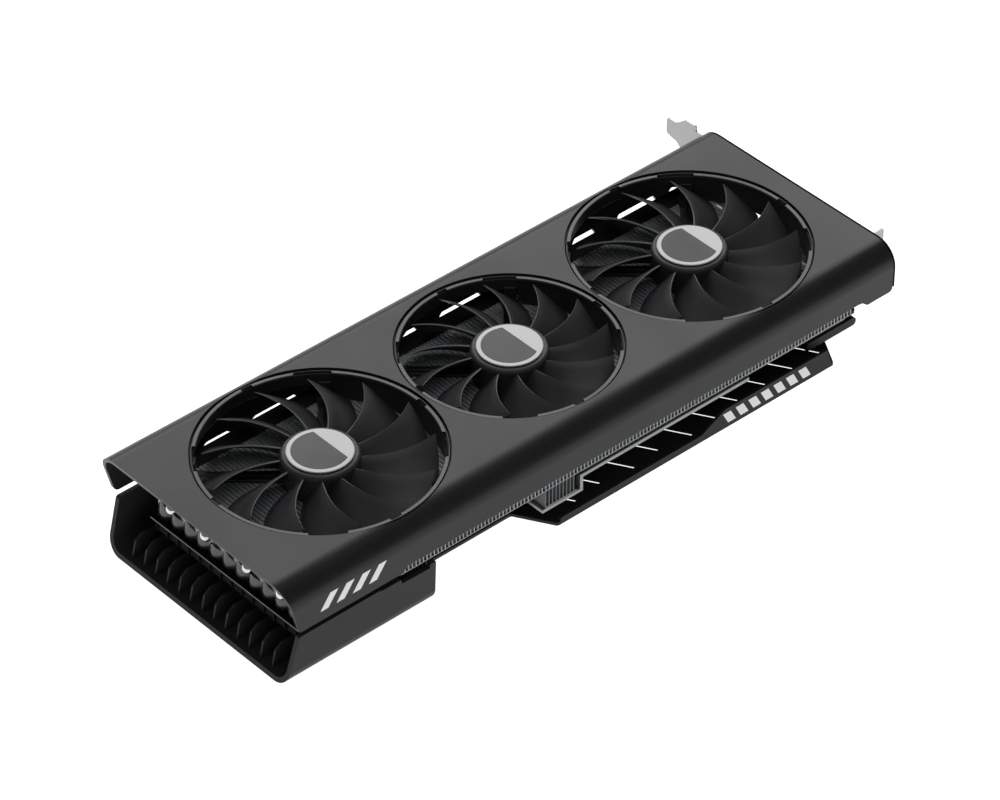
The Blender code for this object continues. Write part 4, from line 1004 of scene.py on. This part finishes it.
def make_power_sockets():
    """Shells with keyed mouths, and their pins."""
    for index in (1, 2):
        low, high = span("power_socket_%d" % index)
        centre = (low + high) / 2
        pins = [(centre.x + (column - 1.5) * PIN_PITCH, centre.z + row * PIN_PITCH / 2,
                 (row + column) % 2) for row in (-1, 1) for column in range(4)]
        shape = bmesh.new()
        block(shape, low, high)
        socket = piece("power_shell_%d" % index, shape, PLASTIC)
        mouths = bmesh.new()
        for x, z, keyed in pins:
            corner = 1.1 if keyed else 0.25
            extrude(mouths, rounded([(x - 1.75, z - 1.75, 0.25), (x + 1.75, z - 1.75, 0.25),
                                     (x + 1.75, z + 1.75, corner), (x - 1.75, z + 1.75, corner)],
                                    3), low.y - 1, low.y + 9.0, "XZ")
        carve(socket, [(mouths, "DIFFERENCE")])
        show(soften(socket, 0.15), "card", "socket_plastic", "power_socket_%d" % index)
        shape = bmesh.new()
        for x, z, _ in pins:
            block(shape, (x - 0.45, low.y + 2.0, z - 0.45), (x + 0.45, low.y + 9.5, z + 0.45))
        show(soften(piece("power_pins_%d" % index, shape, GOLD), 0.12), "card", "copper")


def make_display_sockets():
    """Tongue and contacts inside each display socket."""
    for name in ("displayport_1", "displayport_2", "displayport_3", "hdmi_socket"):
        low, high = span(name)
        centre = (low + high) / 2
        repaint(name, STEEL, 0.15)
        shape = bmesh.new()
        wide = 5.6 if name == "hdmi_socket" else 6.6
        block(shape, (high.x - 11.5, centre.y - wide, centre.z - 0.5),
              (high.x - 2.0, centre.y + wide, centre.z + 0.5))
        show(soften(piece(name + "_tongue", shape, PLASTIC), 0.15), "card", "socket_plastic")
        shape = bmesh.new()
        for index in range(10):
            y = centre.y + (index - 4.5) * wide / 5.2
            block(shape, (high.x - 9.0, y - 0.22, centre.z + 0.48),
                  (high.x - 2.4, y + 0.22, centre.z + 0.62))
        show(piece(name + "_contacts", shape, GOLD), "card", "copper")


def make_screws():
    """Shouldered screws of the retention plate."""
    shape = bmesh.new()
    for index in range(1, 5):
        low, high = span("retention_screw_%d" % index)
        place = ((low.x + high.x) / 2, (low.y + high.y) / 2)
        revolve(shape, [(0.0, high.z), (1.2, high.z), (1.2, low.z + 1.0), (3.0, low.z + 1.0),
                        (3.0, low.z + 0.3), (2.7, low.z), (1.6, low.z), (1.2, low.z + 0.7),
                        (0.0, low.z + 0.7)], place, steps=36, closed=False)
    show(piece("spring_screws", shape, STEEL), "card", "bracket_steel",
         *["retention_screw_%d" % i for i in range(1, 5)])


# ------------------------------------------------------ carried-over pieces

def repaint_nodes():
    for node, paint, width in (
            ("end_trim", NEAR_BLACK, 0.12), ("board_stiffener", BLACK_METAL, 0.4),
            ("fin_rail", BLACK_METAL, 0.2), ("io_bracket", STEEL, 0.18),
            ("bracket_screw_1", STEEL, 0.2), ("bracket_screw_2", STEEL, 0.2),
            ("base_plate", ALUMINIUM, 0.2), ("cold_plate", COPPER, 0.3),
            ("processor_package", BOARD, 0.1), ("processor_die", SILICON, 0.05),
            ("retention_plate", STEEL, 0.15)):
        repaint(node, paint, width)
    for index in range(1, 9):
        repaint("memory_chip_%d" % index, RESIN, 0.12)
    for name in FAN_NAMES:
        repaint("shaft_" + name, STEEL)
        repaint("rotor_magnet_" + name, MAGNET)
        repaint("stator_" + name, MAGNET)
        repaint("bearing_" + name, COPPER)


# ----------------------------------------------------------- stage and view

FLOOR_HALF = 9000.0
FLOOR_GLOW = 1.05
SKY = 0.16


def make_stage():
    shape = bmesh.new()
    block(shape, (-FLOOR_HALF, -FLOOR_HALF, -6.0), (FLOOR_HALF, FLOOR_HALF, -0.05))
    floor = piece("floor", shape)
    paint = bpy.data.materials.new("pale_floor")
    paint.use_nodes = True
    shader = paint.node_tree.nodes["Principled BSDF"]
    shader.inputs["Base Color"].default_value = (0.55, 0.55, 0.55, 1.0)
    shader.inputs["Roughness"].default_value = 1.0
    shader.inputs["Specular IOR Level"].default_value = 0.0
    shader.inputs["Emission Color"].default_value = (1.0, 1.0, 1.0, 1.0)
    shader.inputs["Emission Strength"].default_value = FLOOR_GLOW
    floor.data.materials.append(paint)


def area_light(name, place, size, power):
    """Add a rectangular light that faces the middle of the frame."""
    data = bpy.data.lights.new(name, "AREA")
    data.shape = "RECTANGLE"
    data.size, data.size_y = size
    data.energy = power
    light = bpy.data.objects.new(name, data)
    light.location = place
    light.rotation_euler = (-Vector(place)).to_track_quat("-Z", "Y").to_euler()
    SCENE.collection.objects.link(light)


def make_lights():
    world = bpy.data.worlds.new("studio")
    world.use_nodes = True
    sky = world.node_tree.nodes["Background"]
    sky.inputs["Color"].default_value = (1, 1, 1, 1)
    sky.inputs["Strength"].default_value = SKY
    SCENE.world = world
    area_light("key", (-0.3, -0.5, 2.6), (2.2, 2.2), 11.0)
    area_light("sheen", (1.24, 1.39, 1.51), (2.4, 1.6), 43.0)


CAMERA_PLACE = (-1.0508, -1.1718, 1.2993)      # in metres, as is its aim
CAMERA_AIM = (-0.02654, -0.02392, 0.050)
CAMERA_LENS = 178.70


def make_camera():
    data = bpy.data.cameras.new("camera")
    data.sensor_width = 36.0
    data.lens = CAMERA_LENS
    camera = bpy.data.objects.new("camera", data)
    camera.location = CAMERA_PLACE
    ahead = Vector(CAMERA_AIM) - camera.location
    camera.rotation_euler = ahead.to_track_quat("-Z", "Y").to_euler()
    SCENE.collection.objects.link(camera)
    SCENE.camera = camera
    SCENE.view_settings.view_transform = "Standard"


make_shroud()
make_marks()
for fan in FAN_NAMES:
    make_frame(fan)
    make_impeller(fan)
    make_badge(fan)
    make_motor(fan)
make_fins()
make_tail_fin()
make_tail_tray()
make_front_baffle()
make_pipes()
make_cover()
make_backplate()
make_board_parts()
make_power_sockets()
make_display_sockets()
make_screws()
repaint_nodes()
make_stage()
make_lights()
make_camera()
